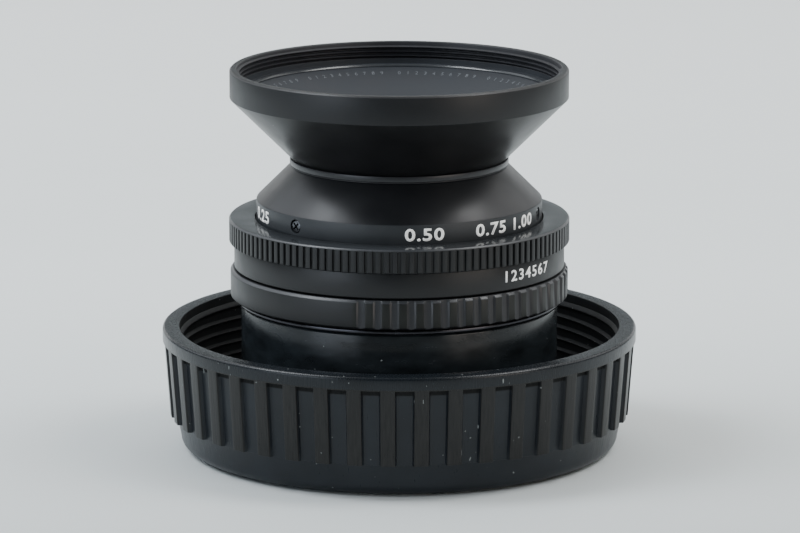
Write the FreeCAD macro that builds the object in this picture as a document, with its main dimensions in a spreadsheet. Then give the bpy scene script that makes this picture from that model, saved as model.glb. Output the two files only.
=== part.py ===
import FreeCAD, Part
import math
import os
import Sketcher

# A short-mount macro lens head for a camera bellows, standing in the bayonet socket of its keeper tray.
# Millimetres. +Z is the optical axis, front of the lens up. The origin is under the tray's centre, on the
# face that it rests on. Azimuths are degrees from +X, anticlockwise seen from above; the front is -Y.

doc = FreeCAD.newDocument("macro_lens_head")

SIZES = {
    # Keeper tray: a ribbed moulding whose inside thread takes a clear dome
    "tray_height": 21.0,
    "rim_radius": 40.5,
    "rim_width": 2.9,
    "rim_band": 2.3,
    "rim_round": 0.8,
    "rib_step": 0.25,
    "rib_draft": 0.95,
    "rib_depth": 0.7,
    "rib_count": 45,
    "rib_gap_angle": 4.3,
    "rib_phase": -92.7,
    "plinth_height": 5.8,
    "plinth_step": 0.4,
    "plinth_draft": 0.6,
    "plinth_wall": 2.2,
    "plinth_round": 0.9,
    "foot_width": 4.4,
    "recess_depth": 1.4,
    "floor_thickness": 1.6,
    "dome_thread_pitch": 2.0,
    "dome_thread_depth": 0.75,
    "dome_thread_crest": 0.35,
    "dome_thread_root": 1.6,
    "dome_thread_bite": 0.2,
    "dome_thread_length": 8.0,
    "dome_thread_above_ledge": 2.0,
    "ledge_above_plinth": 1.8,
    "ledge_slope": 1.4,
    # Keeper socket: the smooth post with the female bayonet
    "socket_height": 22.2,
    "socket_wall": 2.9,
    "socket_base": 3.0,
    "socket_chamfer": 0.45,
    "bayonet_lugs": 3,
    "bayonet_lug_angle": 50.0,
    "bayonet_clearance": 0.2,
    "bayonet_play": 0.1,
    "socket_lug_depth": 1.2,
    "socket_lug_thickness": 1.2,
    "stop_angle": 2.5,
    "stop_play_angle": 1.0,
    "socket_screw_inset": 7.0,
    "socket_screw_azimuth": 90.0,
    "socket_screw_shank": 1.0,
    "socket_screw_head": 1.9,
    "socket_screw_head_height": 0.9,
    "socket_screw_length": 3.6,
    # Bayonet mount of the lens
    "mount_tube_radius": 22.4,
    "mount_tube_wall": 1.9,
    "mount_lug_reach": 1.5,
    "mount_lug_thickness": 1.5,
    "flange_overhang": 0.6,
    "flange_thickness": 0.6,
    "mount_screw_shank": 0.7,
    "mount_screw_head": 1.1,
    "mount_screw_head_height": 0.4,
    "mount_screw_length": 2.2,
    "mount_screw_azimuth": 60.0,
    "mount_screw_spread": 12.0,
    # Main barrel, each radius as a step or wall from the mount tube outwards and back in
    "barrel_step": 0.8,
    "barrel_wall": 2.25,
    "shoulder_step": 0.55,
    "collar_step": 3.0,
    "collar_wall": 3.4,
    "web_thickness": 2.3,
    "web_rise": 0.8,
    # Aperture ring
    "aperture_ring_wall": 3.35,
    "aperture_ring_width": 5.5,
    "aperture_ring_hub": 1.5,
    "aperture_ring_relief": 0.45,
    "aperture_ring_top_relief": 0.2,
    "aperture_chamfer": 0.45,
    "aperture_lower_chamfer": 0.25,
    "flute_count": 33,
    "flute_pitch": 5.625,
    "flute_angle": 2.45,
    "flute_depth": 0.5,
    "first_flute": -102.8,
    "detent_count": 7,
    "detent_depth": 0.2,
    "detent_angle": 1.6,
    "aperture_travel": 52.0,
    # Index ring and knurled grip ring
    "index_ring_wall": 2.15,
    "index_ring_height": 4.2,
    "grip_wall": 3.0,
    "grip_height": 3.5,
    "grip_edge": 0.15,
    "grip_hub": 1.6,
    "grip_top_chamfer": 0.25,
    "grip_plain_lip": 0.45,
    "grip_flange": 0.7,
    "knurl_count": 132,
    "knurl_depth": 0.4,
    "knurl_angle": 1.15,
    "skirt_gap": 0.3,
    # Skirt, neck ring and front cone
    "band_wall": 1.3,
    "band_height": 3.9,
    "skirt_cone_height": 5.8,
    "skirt_wall": 1.7,
    "skirt_roof": 1.3,
    "skirt_screw_azimuth": -135.4,
    "skirt_screw_height": 2.25,
    "skirt_screw_head": 1.05,
    "skirt_screw_head_depth": 0.7,
    "skirt_screw_inset": 0.15,
    "skirt_screw_shank": 0.7,
    "skirt_screw_length": 3.0,
    "screw_slot": 0.3,
    "screw_slot_depth": 0.45,
    "neck_wall": 3.4,
    "neck_ring_step": 0.4,
    "skirt_top_step": 0.25,
    "neck_ring_height": 1.2,
    "cone_height": 10.5,
    "filter_thread_radius": 27.1,
    "filter_rim_wall": 1.65,
    "filter_rim_height": 4.8,
    "filter_thread_pitch": 0.75,
    "filter_thread_depth": 0.4,
    "filter_thread_land": 0.16,
    "filter_thread_root": 0.1,
    "filter_thread_entry": 0.1,
    "filter_wall_depth": 3.75,
    "filter_mouth_chamfer": 0.35,
    "filter_rim_chamfer": 0.3,
    "dish_ledge": 1.2,
    "dish_step": 0.35,
    # Name ring, the dished ring around the front glass
    "name_ring_lip": 0.8,
    "name_ring_edge": 0.7,
    "name_ring_hub": 0.7,
    "name_ring_play": 0.2,
    "name_ring_gap": 0.1,
    # Iris
    "carrier_thickness": 0.6,
    "carrier_step": 0.4,
    "blade_count": 6,
    "pivot_inset": 5.6,
    "blade_pivot_step": 1.4,
    "blade_width": 5.4,
    "blade_span": 124.0,
    "blade_root_angle": 6.0,
    "blade_thickness": 0.12,
    "blade_layer": 0.2,
    "blade_swing": 26.5,
    "blade_arm": 4.2,
    "blade_arm_angle": 60.0,
    "blade_boss": 1.0,
    "blade_root": 0.5,
    "blade_floor_gap": 0.1,
    "blade_roof_gap": 0.2,
    "pivot_pin_radius": 0.5,
    "drive_pin_radius": 0.45,
    "pin_clearance": 0.08,
    "drive_ring_play": 0.3,
    "drive_ring_step": 0.4,
    "drive_ring_thickness": 0.7,
    "iris_cover_thickness": 0.5,
    "iris_cover_gap": 0.2,
    "iris_cover_step": 1.5,
    # Link from the aperture ring to the iris drive ring
    "link_inset": 1.5,
    "link_thickness": 0.9,
    "link_width": 3.0,
    "link_azimuth": 60.0,
    "link_foot_gap": 0.8,
    "link_foot_height": 2.2,
    "link_screw_radius": 0.8,
    "link_screw_inset": 0.4,
    "link_screw_tip": 0.2,
    "link_screw_below_top": 2.5,
    "slot_play": 0.2,
    "slot_margin": 3.0,
    # Click stop
    "click_ball_radius": 1.2,
    "click_azimuth": -20.0,
    "click_gap": 0.02,
    "click_spring_thickness": 0.25,
    "click_spring_height": 1.8,
    "click_spring_angle": 46.0,
    "click_spring_end": 4.0,
    "click_screw_head": 1.0,
    "click_screw_head_height": 0.7,
    "click_screw_shank": 0.6,
    "click_screw_skin": 0.5,
    # Front optical group
    "front_cell_step": 4.8,
    "front_cell_wall": 4.4,
    "front_glass_step": 1.8,
    "front_cell_lap": 1.7,
    "front_cell_flange_thickness": 0.8,
    "name_ring_skirt": 0.4,
    "front_cell_lip": 1.1,
    "cell_screw_azimuth": 30.0,
    "cell_screw_head": 0.75,
    "cell_screw_shank": 0.45,
    "cell_screw_length": 2.6,
    "cell_screw_head_height": 0.4,
    "cell_seat": 0.8,
    "cell_seat_height": 0.6,
    "flint_edge": 1.6,
    "flint_sag": 0.8,
    "crown_edge": 1.2,
    "crown_sag": 1.0,
    "front_spacer_height": 1.4,
    "front_glass_edge": 1.4,
    "front_glass_sag": 1.6,
    "front_glass_hollow": 0.5,
    "front_retainer_height": 0.9,
    "front_retainer_bevel": 0.35,
    # Rear optical group
    "rear_cell_step": 8.0,
    "rear_cell_wall": 3.1,
    "rear_glass_step": 1.0,
    "web_step": 0.9,
    "rear_flange_lap": 2.1,
    "rear_cell_flange_thickness": 1.0,
    "rear_flint_edge": 1.5,
    "rear_flint_hollow": 0.7,
    "rear_cement_sag": 0.4,
    "rear_crown_edge": 1.6,
    "rear_crown_sag": 1.0,
    "rear_spacer_height": 0.9,
    "rear_glass_edge": 1.3,
    "rear_glass_sag": 0.9,
    "rear_glass_hollow": 0.5,
    "rear_retainer_height": 1.0,
    # Rear baffle and stop-down lever
    "baffle_thickness": 0.8,
    "baffle_step": 1.0,
    "baffle_rise": 2.8,
    "lever_slot_play": 0.25,
    "lever_ring_wall": 1.9,
    "lever_ring_height": 1.0,
    "lever_prong_reach": 2.5,
    "lever_prong_thickness": 1.0,
    "lever_prong_width": 2.4,
    "lever_prong_end": 1.6,
    "lever_azimuth": -60.0,
    "lever_travel": 12.0,
    "lever_retainer_height": 0.6,
    "lever_retainer_wall": 1.5,
    "lever_spring_wire": 0.2,
    "lever_spring_pitch": 0.5,
    "lever_spring_turns": 3,
    # Fixings and clearances
    "screws_per_ring": 3,
    "fit": 0.03,
    "running_fit": 0.05,
    "seat_gap": 0.05,
    "head_play": 0.15,
    "weld": 0.5,
    "overcut": 1.0,
    "screw_tip_gap": 0.3,
}


class Size:
    """A number together with the spreadsheet expression that it follows."""

    def __init__(self, number, formula):
        self.number = number
        self.formula = formula

    def __add__(self, other):
        return Size(self.number + number(other), f"({self.formula} + {formula(other)})")

    def __radd__(self, other):
        return Size(number(other) + self.number, f"({formula(other)} + {self.formula})")

    def __sub__(self, other):
        return Size(self.number - number(other), f"({self.formula} - {formula(other)})")

    def __rsub__(self, other):
        return Size(number(other) - self.number, f"({formula(other)} - {self.formula})")

    def __mul__(self, other):
        return Size(self.number * number(other), f"({self.formula} * {formula(other)})")

    def __rmul__(self, other):
        return Size(number(other) * self.number, f"({formula(other)} * {self.formula})")

    def __truediv__(self, other):
        return Size(self.number / number(other), f"({self.formula} / {formula(other)})")

    def __rtruediv__(self, other):
        return Size(number(other) / self.number, f"({formula(other)} / {self.formula})")


def number(size):
    return size.number if isinstance(size, Size) else size


def formula(size):
    return size.formula if isinstance(size, Size) else repr(size)


class Sheet:
    """Every driving size of the spreadsheet, as an attribute with the size's own name."""

    def __init__(self, sizes):
        sheet = doc.addObject("Spreadsheet::Sheet", "Sizes")
        for row, (name, value) in enumerate(sizes.items(), start=1):
            sheet.set(f"A{row}", name)
            sheet.set(f"B{row}", str(value))
            sheet.setAlias(f"B{row}", name)
            setattr(self, name, Size(value, f"Sizes.{name}"))
        doc.recompute()


s = Sheet(SIZES)
NODES = []


def node(piece):
    """Marks a finished piece as a sub-part: its Label names its file."""
    NODES.append(piece)
    return piece


# Small tools: sketches, turned bodies, cuts in them, primitives and booleans.


def bind(piece, prop, size):
    """Sets a property and ties it to its spreadsheet cells."""
    setattr(piece, prop, number(size))
    if isinstance(size, Size):
        piece.setExpression(prop, size.formula)


def origin_feature(body, role):
    return [feature for feature in body.Origin.OriginFeatures if feature.Role == role][0]


def sketch_on(body, role, name, offset=None):
    sketch = body.newObject("Sketcher::SketchObject", name)
    sketch.AttachmentSupport = (origin_feature(body, role), [""])
    sketch.MapMode = "FlatFace"
    if offset is not None:
        sketch.AttachmentOffset = offset
    return sketch


def pin_vertex(sketch, line, vertex, x, y):
    """Holds one end of a sketch line at x, y, each tied to its own cells."""
    for kind, axis, size in (("DistanceX", -2, x), ("DistanceY", -1, y)):
        if number(size) == 0:
            sketch.addConstraint(Sketcher.Constraint("PointOnObject", line, vertex, axis))
            continue
        index = sketch.addConstraint(Sketcher.Constraint(kind, -1, 1, line, vertex, number(size)))
        if isinstance(size, Size):
            sketch.setExpression(f"Constraints[{index}]", size.formula)


def draw_outline(sketch, points):
    """A closed outline of straight lines through points of (x, y)."""
    count = len(points)
    for here in range(count):
        start = [number(size) for size in points[here]]
        end = [number(size) for size in points[(here + 1) % count]]
        sketch.addGeometry(Part.LineSegment(FreeCAD.Vector(*start, 0), FreeCAD.Vector(*end, 0)), False)
    for here in range(count):
        sketch.addConstraint(Sketcher.Constraint("Coincident", here, 2, (here + 1) % count, 1))
    for here, (x, y) in enumerate(points):
        pin_vertex(sketch, here, 1, x, y)


def arc_angle(width, radius):
    """Degrees that a straight width takes on a circle."""
    half = width / 2 / radius
    return Size(2 * math.degrees(math.asin(half.number)), f"(2 * asin({half.formula}) / 1 deg)")


def new_body(label):
    body = doc.addObject("PartDesign::Body", label)
    body.Label = label
    return body


def turn_about_axis(body, kind, name, points, angle=360.0, azimuth=0.0):
    """Revolution or Groove of an outline of (radius, height) points about Z, centred on an azimuth."""
    turn = FreeCAD.Rotation(FreeCAD.Vector(0, 1, 0), number(azimuth))
    sketch = sketch_on(body, "XZ_Plane", name + "_outline", FreeCAD.Placement(FreeCAD.Vector(), turn))
    if isinstance(azimuth, Size):
        sketch.setExpression("AttachmentOffset.Rotation.Angle", azimuth.formula)
        sketch.AttachmentOffset.Rotation.Axis = FreeCAD.Vector(0, 1, 0)
    draw_outline(sketch, points)
    feature = body.newObject("PartDesign::" + kind, name)
    feature.Profile = (sketch, [""])
    feature.ReferenceAxis = (sketch, ["V_Axis"])
    feature.Midplane = number(angle) < 360
    bind(feature, "Angle", angle)
    return feature


def turned(label, points):
    """A body turned on a lathe from an outline of (radius, height) points."""
    body = new_body(label)
    turn_about_axis(body, "Revolution", label + "_turned", points)
    return body


def repeat(body, feature, count, angle=360.0):
    """Repeats a feature round the Z axis. Under a full turn, angle is from the first to the last."""
    pattern = body.newObject("PartDesign::PolarPattern", feature.Name + "_pattern")
    pattern.Originals = [feature]
    pattern.Axis = (origin_feature(body, "Z_Axis"), [""])
    bind(pattern, "Angle", angle)
    bind(pattern, "Occurrences", count)
    body.Tip = pattern
    return pattern


def rounded(body, edges, radius):
    """Fillets the full circular edges that lie at the given (radius, height) places."""
    doc.recompute()
    places = [(number(r), number(z)) for r, z in edges]
    names = []
    for index, edge in enumerate(body.Shape.Edges, start=1):
        if not isinstance(edge.Curve, Part.Circle):
            continue
        for r, z in places:
            if abs(edge.Curve.Radius - r) < 1e-4 and abs(edge.Curve.Center.z - z) < 1e-4:
                names.append(f"Edge{index}")
    tip = body.Tip
    feature = body.newObject("PartDesign::Fillet", body.Name + "_fillet")
    feature.Base = (tip, names)
    bind(feature, "Radius", radius)
    return feature


def helix(body, kind, name, points, pitch, height):
    """AdditiveHelix or SubtractiveHelix of an outline of (radius, height) points about Z."""
    sketch = sketch_on(body, "XZ_Plane", name + "_outline")
    draw_outline(sketch, points)
    feature = body.newObject("PartDesign::" + kind, name)
    feature.Profile = (sketch, [""])
    feature.ReferenceAxis = (sketch, ["V_Axis"])
    feature.Mode = 0
    bind(feature, "Pitch", pitch)
    bind(feature, "Height", height)
    return feature


def bore(body, name, circle, azimuth, hole, low, high):
    """A vertical round hole from low to high, with its axis on a circle at an azimuth."""
    angle = math.radians(number(azimuth))
    offset = FreeCAD.Placement(FreeCAD.Vector(0, 0, number(high)), FreeCAD.Rotation())
    sketch = sketch_on(body, "XY_Plane", name + "_circle", offset)
    if isinstance(high, Size):
        sketch.setExpression("AttachmentOffset.Base.z", high.formula)
    x, y = number(circle) * math.cos(angle), number(circle) * math.sin(angle)
    sketch.addGeometry(Part.Circle(FreeCAD.Vector(x, y, 0), FreeCAD.Vector(0, 0, 1), number(hole)), False)
    index = sketch.addConstraint(Sketcher.Constraint("Radius", 0, number(hole)))
    if isinstance(hole, Size):
        sketch.setExpression(f"Constraints[{index}]", hole.formula)
    sketch.addConstraint(Sketcher.Constraint("Block", 0))
    feature = body.newObject("PartDesign::Pocket", name)
    feature.Profile = (sketch, [""])
    bind(feature, "Length", high - low)
    return feature


def placed(piece, x=0, y=0, z=0, azimuth=0, tilt=0):
    """Tilts a piece about Y, turns it about Z, then moves it."""
    turn = FreeCAD.Rotation(FreeCAD.Vector(0, 0, 1), number(azimuth))
    lean = FreeCAD.Rotation(FreeCAD.Vector(0, 1, 0), number(tilt))
    piece.Placement = FreeCAD.Placement(FreeCAD.Vector(number(x), number(y), number(z)), turn * lean)
    return piece


def polar(circle, azimuth):
    """x and y of a point on a circle at an azimuth."""
    angle = math.radians(number(azimuth))
    return number(circle) * math.cos(angle), number(circle) * math.sin(angle)


def cylinder(name, radius, height, angle=360.0):
    piece = doc.addObject("Part::Cylinder", name)
    bind(piece, "Radius", radius)
    bind(piece, "Height", height)
    bind(piece, "Angle", angle)
    return piece


def box(name, length, width, height):
    piece = doc.addObject("Part::Box", name)
    bind(piece, "Length", length)
    bind(piece, "Width", width)
    bind(piece, "Height", height)
    return piece


def ball(name, radius):
    piece = doc.addObject("Part::Sphere", name)
    bind(piece, "Radius", radius)
    return piece


def radial_cylinder(name, radius, inner, outer, azimuth, height):
    """A cylinder along the radius at an azimuth, from inner to outer."""
    piece = cylinder(name, radius, outer - inner)
    x, y = polar(inner, azimuth)
    return placed(piece, x, y, height, azimuth, tilt=90)


def radial_box(name, inner, outer, width, low, high, azimuth):
    """A box along the radius at an azimuth, from inner to outer and from low to high."""
    piece = box(name, outer - inner, width, high - low)
    turn = FreeCAD.Rotation(FreeCAD.Vector(0, 0, 1), number(azimuth))
    corner = FreeCAD.Vector(number(inner), -number(width) / 2, number(low))
    piece.Placement = FreeCAD.Placement(turn.multVec(corner), turn)
    return piece


def cut(label, base, tool):
    piece = doc.addObject("Part::Cut", label)
    piece.Label = label
    piece.Base = base
    piece.Tool = tool
    return piece


def fused(label, pieces):
    piece = doc.addObject("Part::MultiFuse", label)
    piece.Label = label
    piece.Shapes = pieces
    return piece


def together(label, pieces):
    """Separate solids that share one node."""
    piece = doc.addObject("Part::Compound", label)
    piece.Label = label
    piece.Links = pieces
    return piece


def screw(name, shank, length, head, head_height, slots=0):
    """A screw along +Z: its head's outer face at z 0, the shank under it. Slots: 1 a slot, 2 a cross."""
    top = cylinder(name + "_head", head, head_height)
    placed(top, z=head_height * -1)
    body = cylinder(name + "_shank", shank, length)
    placed(body, z=length * -1)
    piece = fused(name + "_solid", [top, body])
    for turn in range(slots):
        slot = box(f"{name}_slot_{turn}", head * 2, s.screw_slot, s.screw_slot_depth + s.overcut)
        angle = 45 + 90 * turn
        across = FreeCAD.Rotation(FreeCAD.Vector(0, 0, 1), angle)
        corner = FreeCAD.Vector(-number(head), -number(s.screw_slot) / 2, -number(s.screw_slot_depth))
        slot.Placement = FreeCAD.Placement(across.multVec(corner), across)
        piece = cut(f"{name}_slotted_{turn}", piece, slot)
    return piece


# Radii that several pieces share, each a wall or a step away from its neighbour.

mount_tube_bore = s.mount_tube_radius - s.mount_tube_wall
socket_lug_bore = s.mount_tube_radius + s.bayonet_clearance
socket_bore = s.mount_tube_radius + s.mount_lug_reach + s.bayonet_clearance
socket_radius = socket_bore + s.socket_wall
socket_screw_circle = socket_radius - s.socket_screw_inset
flange_radius = socket_radius + s.flange_overhang
barrel_bore = s.mount_tube_radius + s.barrel_step
bearing_radius = barrel_bore + s.barrel_wall
mount_screw_circle = barrel_bore + s.barrel_wall / 2
shoulder_radius = bearing_radius + s.shoulder_step
aperture_ring_radius = bearing_radius + s.aperture_ring_wall
index_ring_radius = shoulder_radius + s.index_ring_wall
grip_radius = shoulder_radius + s.grip_wall
collar_radius = shoulder_radius - s.collar_step
band_radius = collar_radius + s.band_wall
iris_pocket = collar_radius - s.collar_wall
drive_ring_radius = iris_pocket - s.drive_ring_play
link_radius = iris_pocket - s.link_inset
link_foot_reach = barrel_bore - s.link_foot_gap
pivot_circle = iris_pocket - s.pivot_inset
blade_outer_radius = pivot_circle - s.blade_pivot_step
blade_inner_radius = blade_outer_radius - s.blade_width
carrier_hole = blade_inner_radius + s.carrier_step
drive_ring_bore = pivot_circle - s.drive_ring_step
iris_cover_bore = pivot_circle - s.iris_cover_step
front_cell_flange = iris_pocket + s.front_cell_lap
cell_screw_circle = iris_pocket + s.front_cell_lap / 2
front_cell_radius = iris_pocket - s.front_cell_step
front_glass_radius = front_cell_radius - s.front_cell_wall
front_doublet_radius = front_glass_radius - s.front_glass_step
neck_radius = front_cell_radius + s.neck_wall
neck_ring_radius = neck_radius + s.neck_ring_step
skirt_top_radius = neck_radius + s.skirt_top_step
name_ring_mouth = front_glass_radius + s.name_ring_lip
filter_rim_radius = s.filter_thread_radius + s.filter_rim_wall
dish_radius = s.filter_thread_radius - s.dish_ledge
rear_cell_radius = mount_tube_bore - s.rear_cell_step
rear_glass_radius = rear_cell_radius - s.rear_cell_wall
rear_doublet_radius = rear_glass_radius - s.rear_glass_step
web_hole = rear_cell_radius + s.web_step
rear_cell_flange = web_hole + s.rear_flange_lap
baffle_hole = rear_cell_radius - s.baffle_step
lever_ring_radius = rear_cell_radius + s.lever_ring_wall
lever_prong_radius = lever_ring_radius + s.lever_prong_reach
lever_retainer_radius = rear_cell_radius + s.lever_retainer_wall

click_screw_azimuth = s.click_azimuth + s.click_spring_angle - s.click_spring_end * 2
skirt_screw_azimuths = [s.skirt_screw_azimuth + 360 / s.screws_per_ring * index
                        for index in range(SIZES["screws_per_ring"])]

# Heights that several pieces share.

floor_top = s.recess_depth + s.floor_thickness
mount_face = floor_top + s.socket_height
socket_lug_bottom = mount_face - s.socket_lug_depth - s.socket_lug_thickness
mount_tube_end = socket_lug_bottom - s.bayonet_play - s.mount_lug_thickness
barrel_bottom = mount_face + s.flange_thickness
ring_bottom = barrel_bottom + s.seat_gap
ring_top = ring_bottom + s.aperture_ring_width
link_height = ring_top - s.link_screw_below_top
index_bottom = ring_top + s.seat_gap
index_top = index_bottom + s.index_ring_height
shoulder_top = index_top + s.grip_height
carrier_bottom = shoulder_top + s.web_rise
carrier_top = carrier_bottom + s.carrier_thickness
web_bottom = carrier_bottom - s.web_thickness
blades_bottom = carrier_top + s.blade_floor_gap
drive_ring_bottom = blades_bottom + s.blade_layer * s.blade_count + s.blade_roof_gap
drive_ring_top = drive_ring_bottom + s.drive_ring_thickness
iris_cover_bottom = drive_ring_top + s.iris_cover_gap
collar_top = iris_cover_bottom + s.iris_cover_thickness
flange_top = collar_top + s.front_cell_flange_thickness
doublet_seat = collar_top + s.cell_seat_height
doublet_top = doublet_seat + s.flint_edge + s.crown_edge
front_glass_seat = doublet_top + s.front_spacer_height
front_retainer_bottom = front_glass_seat + s.front_glass_edge
front_retainer_top = front_retainer_bottom + s.front_retainer_height
front_cell_top = front_retainer_top + s.front_cell_lip
skirt_bottom = shoulder_top
skirt_screw_level = skirt_bottom + s.skirt_screw_height
cone_start = skirt_bottom + s.band_height
skirt_top = cone_start + s.skirt_cone_height
cone_bottom = skirt_top + s.neck_ring_height
rim_bottom = cone_bottom + s.cone_height
rim_top = rim_bottom + s.filter_rim_height
thread_bottom = rim_top - s.filter_wall_depth
name_ring_top = thread_bottom - s.dish_step
name_ring_floor = front_cell_top + s.name_ring_hub
rear_doublet_top = carrier_bottom - s.cell_seat_height
rear_cement = rear_doublet_top - s.rear_flint_edge
rear_doublet_bottom = rear_cement - s.rear_crown_edge
rear_glass_top = rear_doublet_bottom - s.rear_spacer_height
rear_glass_bottom = rear_glass_top - s.rear_glass_edge
rear_cell_bottom = rear_glass_bottom - s.rear_retainer_height
rear_flange_bottom = web_bottom - s.rear_cell_flange_thickness
lever_top = rear_flange_bottom - s.seat_gap
lever_bottom = lever_top - s.lever_ring_height
lever_retainer_top = lever_bottom - s.seat_gap
lever_retainer_bottom = lever_retainer_top - s.lever_retainer_height
baffle_bottom = mount_tube_end + s.baffle_rise


# Keeper tray and socket.


def keeper_tray():
    rib_top = s.tray_height - s.rim_band
    rib_top_radius = s.rim_radius - s.rib_step
    rib_foot_radius = rib_top_radius - s.rib_draft
    plinth_top_radius = rib_foot_radius - s.rib_depth - s.plinth_step
    plinth_foot_radius = plinth_top_radius - s.plinth_draft
    wall_radius = s.rim_radius - s.rim_width
    ledge = s.plinth_height + s.ledge_above_plinth
    low_wall_radius = plinth_top_radius - s.plinth_wall
    body = turned("keeper_tray", [
        (0, s.recess_depth),
        (plinth_foot_radius - s.foot_width, s.recess_depth),
        (plinth_foot_radius - s.foot_width, 0),
        (plinth_foot_radius, 0),
        (plinth_top_radius, s.plinth_height),
        (rib_foot_radius, s.plinth_height),
        (rib_top_radius, rib_top),
        (s.rim_radius, rib_top),
        (s.rim_radius, s.tray_height),
        (wall_radius, s.tray_height),
        (wall_radius, ledge),
        (low_wall_radius, ledge - s.ledge_slope),
        (low_wall_radius, floor_top),
        (0, floor_top),
    ])
    rounded(body, [(s.rim_radius, s.tray_height)], s.rim_round)
    rounded(body, [(wall_radius, s.tray_height)], s.rim_round / 2)
    rounded(body, [(plinth_foot_radius, 0)], s.plinth_round)
    ridge = ledge + s.dome_thread_above_ledge
    root = wall_radius + s.dome_thread_bite
    crest = wall_radius - s.dome_thread_depth
    helix(body, "AdditiveHelix", "dome_thread", [
        (root, ridge - s.dome_thread_root / 2),
        (root, ridge + s.dome_thread_root / 2),
        (crest, ridge + s.dome_thread_crest / 2),
        (crest, ridge - s.dome_thread_crest / 2),
    ], s.dome_thread_pitch, s.dome_thread_length)
    gap = turn_about_axis(body, "Groove", "rib_gap", [
        (rib_foot_radius - s.rib_depth, s.plinth_height),
        (s.rim_radius + s.overcut, s.plinth_height),
        (s.rim_radius + s.overcut, rib_top),
        (rib_top_radius - s.rib_depth, rib_top),
    ], s.rib_gap_angle, s.rib_phase + 180 / s.rib_count)
    repeat(body, gap, s.rib_count)
    hole = bore(body, "tray_screw_hole", socket_screw_circle, s.socket_screw_azimuth,
                s.socket_screw_shank + s.running_fit, s.recess_depth, floor_top)
    repeat(body, hole, s.screws_per_ring)
    return node(body)


def keeper_socket():
    lug_top = socket_lug_bottom + s.socket_lug_thickness
    stop_top = socket_lug_bottom + s.bayonet_play
    stop_azimuth = (s.bayonet_lug_angle + s.stop_angle + s.stop_play_angle) / -2
    body = turned("keeper_socket", [
        (0, floor_top),
        (socket_radius, floor_top),
        (socket_radius, mount_face - s.socket_chamfer),
        (socket_radius - s.socket_chamfer, mount_face),
        (socket_bore, mount_face),
        (socket_bore, floor_top + s.socket_base),
        (0, floor_top + s.socket_base),
    ])
    lug = turn_about_axis(body, "Revolution", "socket_lug", [
        (socket_lug_bore, socket_lug_bottom),
        (socket_bore + s.weld, socket_lug_bottom),
        (socket_bore + s.weld, lug_top),
        (socket_lug_bore, lug_top),
    ], s.bayonet_lug_angle)
    repeat(body, lug, s.bayonet_lugs)
    turn_about_axis(body, "Revolution", "twist_stop", [
        (socket_lug_bore, mount_tube_end),
        (socket_bore + s.weld, mount_tube_end),
        (socket_bore + s.weld, stop_top),
        (socket_lug_bore, stop_top),
    ], s.stop_angle, stop_azimuth)
    screw_tip = s.recess_depth - s.socket_screw_head_height + s.socket_screw_length
    pilot = bore(body, "socket_pilot_hole", socket_screw_circle, s.socket_screw_azimuth,
                 s.socket_screw_shank + s.fit, floor_top, screw_tip + s.screw_tip_gap)
    repeat(body, pilot, s.screws_per_ring)
    return node(body)


def ring_of_screws(label, circle, first, height, up, **screw_sizes):
    """Vertical screws on a circle, with their heads' faces at a height, looking up or down."""
    screws = []
    for index in range(SIZES["screws_per_ring"]):
        x, y = polar(circle, first + 360 / s.screws_per_ring * index)
        piece = screw(f"{label}_{index}", **screw_sizes)
        screws.append(placed(piece, x, y, height, tilt=0 if up else 180))
    return screws


def socket_screws():
    screws = ring_of_screws(
        "socket_screw", socket_screw_circle, s.socket_screw_azimuth,
        s.recess_depth - s.socket_screw_head_height, False,
        shank=s.socket_screw_shank, length=s.socket_screw_length, head=s.socket_screw_head,
        head_height=s.socket_screw_head_height, slots=2)
    return node(together("socket_screws", screws))


# Bayonet mount, barrel and the fixed rings.


def bayonet_mount():
    lug_top = mount_tube_end + s.mount_lug_thickness
    lug_radius = s.mount_tube_radius + s.mount_lug_reach
    body = turned("bayonet_mount", [
        (mount_tube_bore, mount_tube_end),
        (s.mount_tube_radius, mount_tube_end),
        (s.mount_tube_radius, mount_face),
        (flange_radius, mount_face),
        (flange_radius, barrel_bottom),
        (mount_tube_bore, barrel_bottom),
    ])
    lug = turn_about_axis(body, "Revolution", "mount_lug", [
        (s.mount_tube_radius - s.weld, mount_tube_end),
        (lug_radius, mount_tube_end),
        (lug_radius, lug_top),
        (s.mount_tube_radius - s.weld, lug_top),
    ], s.bayonet_lug_angle)
    repeat(body, lug, s.bayonet_lugs)
    for side in (-1, 1):
        azimuth = s.mount_screw_azimuth + s.mount_screw_spread * side
        head = bore(body, f"mount_head_hole_{side + 1}", mount_screw_circle, azimuth,
                    s.mount_screw_head + s.fit, mount_face, mount_face + s.mount_screw_head_height)
        repeat(body, head, s.screws_per_ring)
        shank = bore(body, f"mount_shank_hole_{side + 1}", mount_screw_circle, azimuth,
                     s.mount_screw_shank + s.fit, mount_face, barrel_bottom)
        repeat(body, shank, s.screws_per_ring)
    return node(body)


def mount_screws():
    screws = []
    for side in (-1, 1):
        first = s.mount_screw_azimuth + s.mount_screw_spread * side
        screws += ring_of_screws(
            f"mount_screw_{side + 1}", mount_screw_circle, first, mount_face, False,
            shank=s.mount_screw_shank, length=s.mount_screw_length, head=s.mount_screw_head,
            head_height=s.mount_screw_head_height, slots=0)
    return node(together("mount_screws", screws))


def link_slot(body, name, inner, outer, low, high):
    """An arc slot that lets the link turn through the aperture ring's travel."""
    angle = s.aperture_travel + arc_angle(s.link_width, link_radius) + s.slot_margin
    return turn_about_axis(body, "Groove", name, [
        (inner, low),
        (outer, low),
        (outer, high),
        (inner, high),
    ], angle, s.link_azimuth + s.aperture_travel / 2)


def link_strip_slot(body, name, low, high):
    """The link slot through a disc, for the upright strip."""
    return link_slot(body, name, link_radius - s.slot_play, link_radius + s.link_thickness + s.slot_play,
                     low - s.overcut, high + s.overcut)


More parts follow.
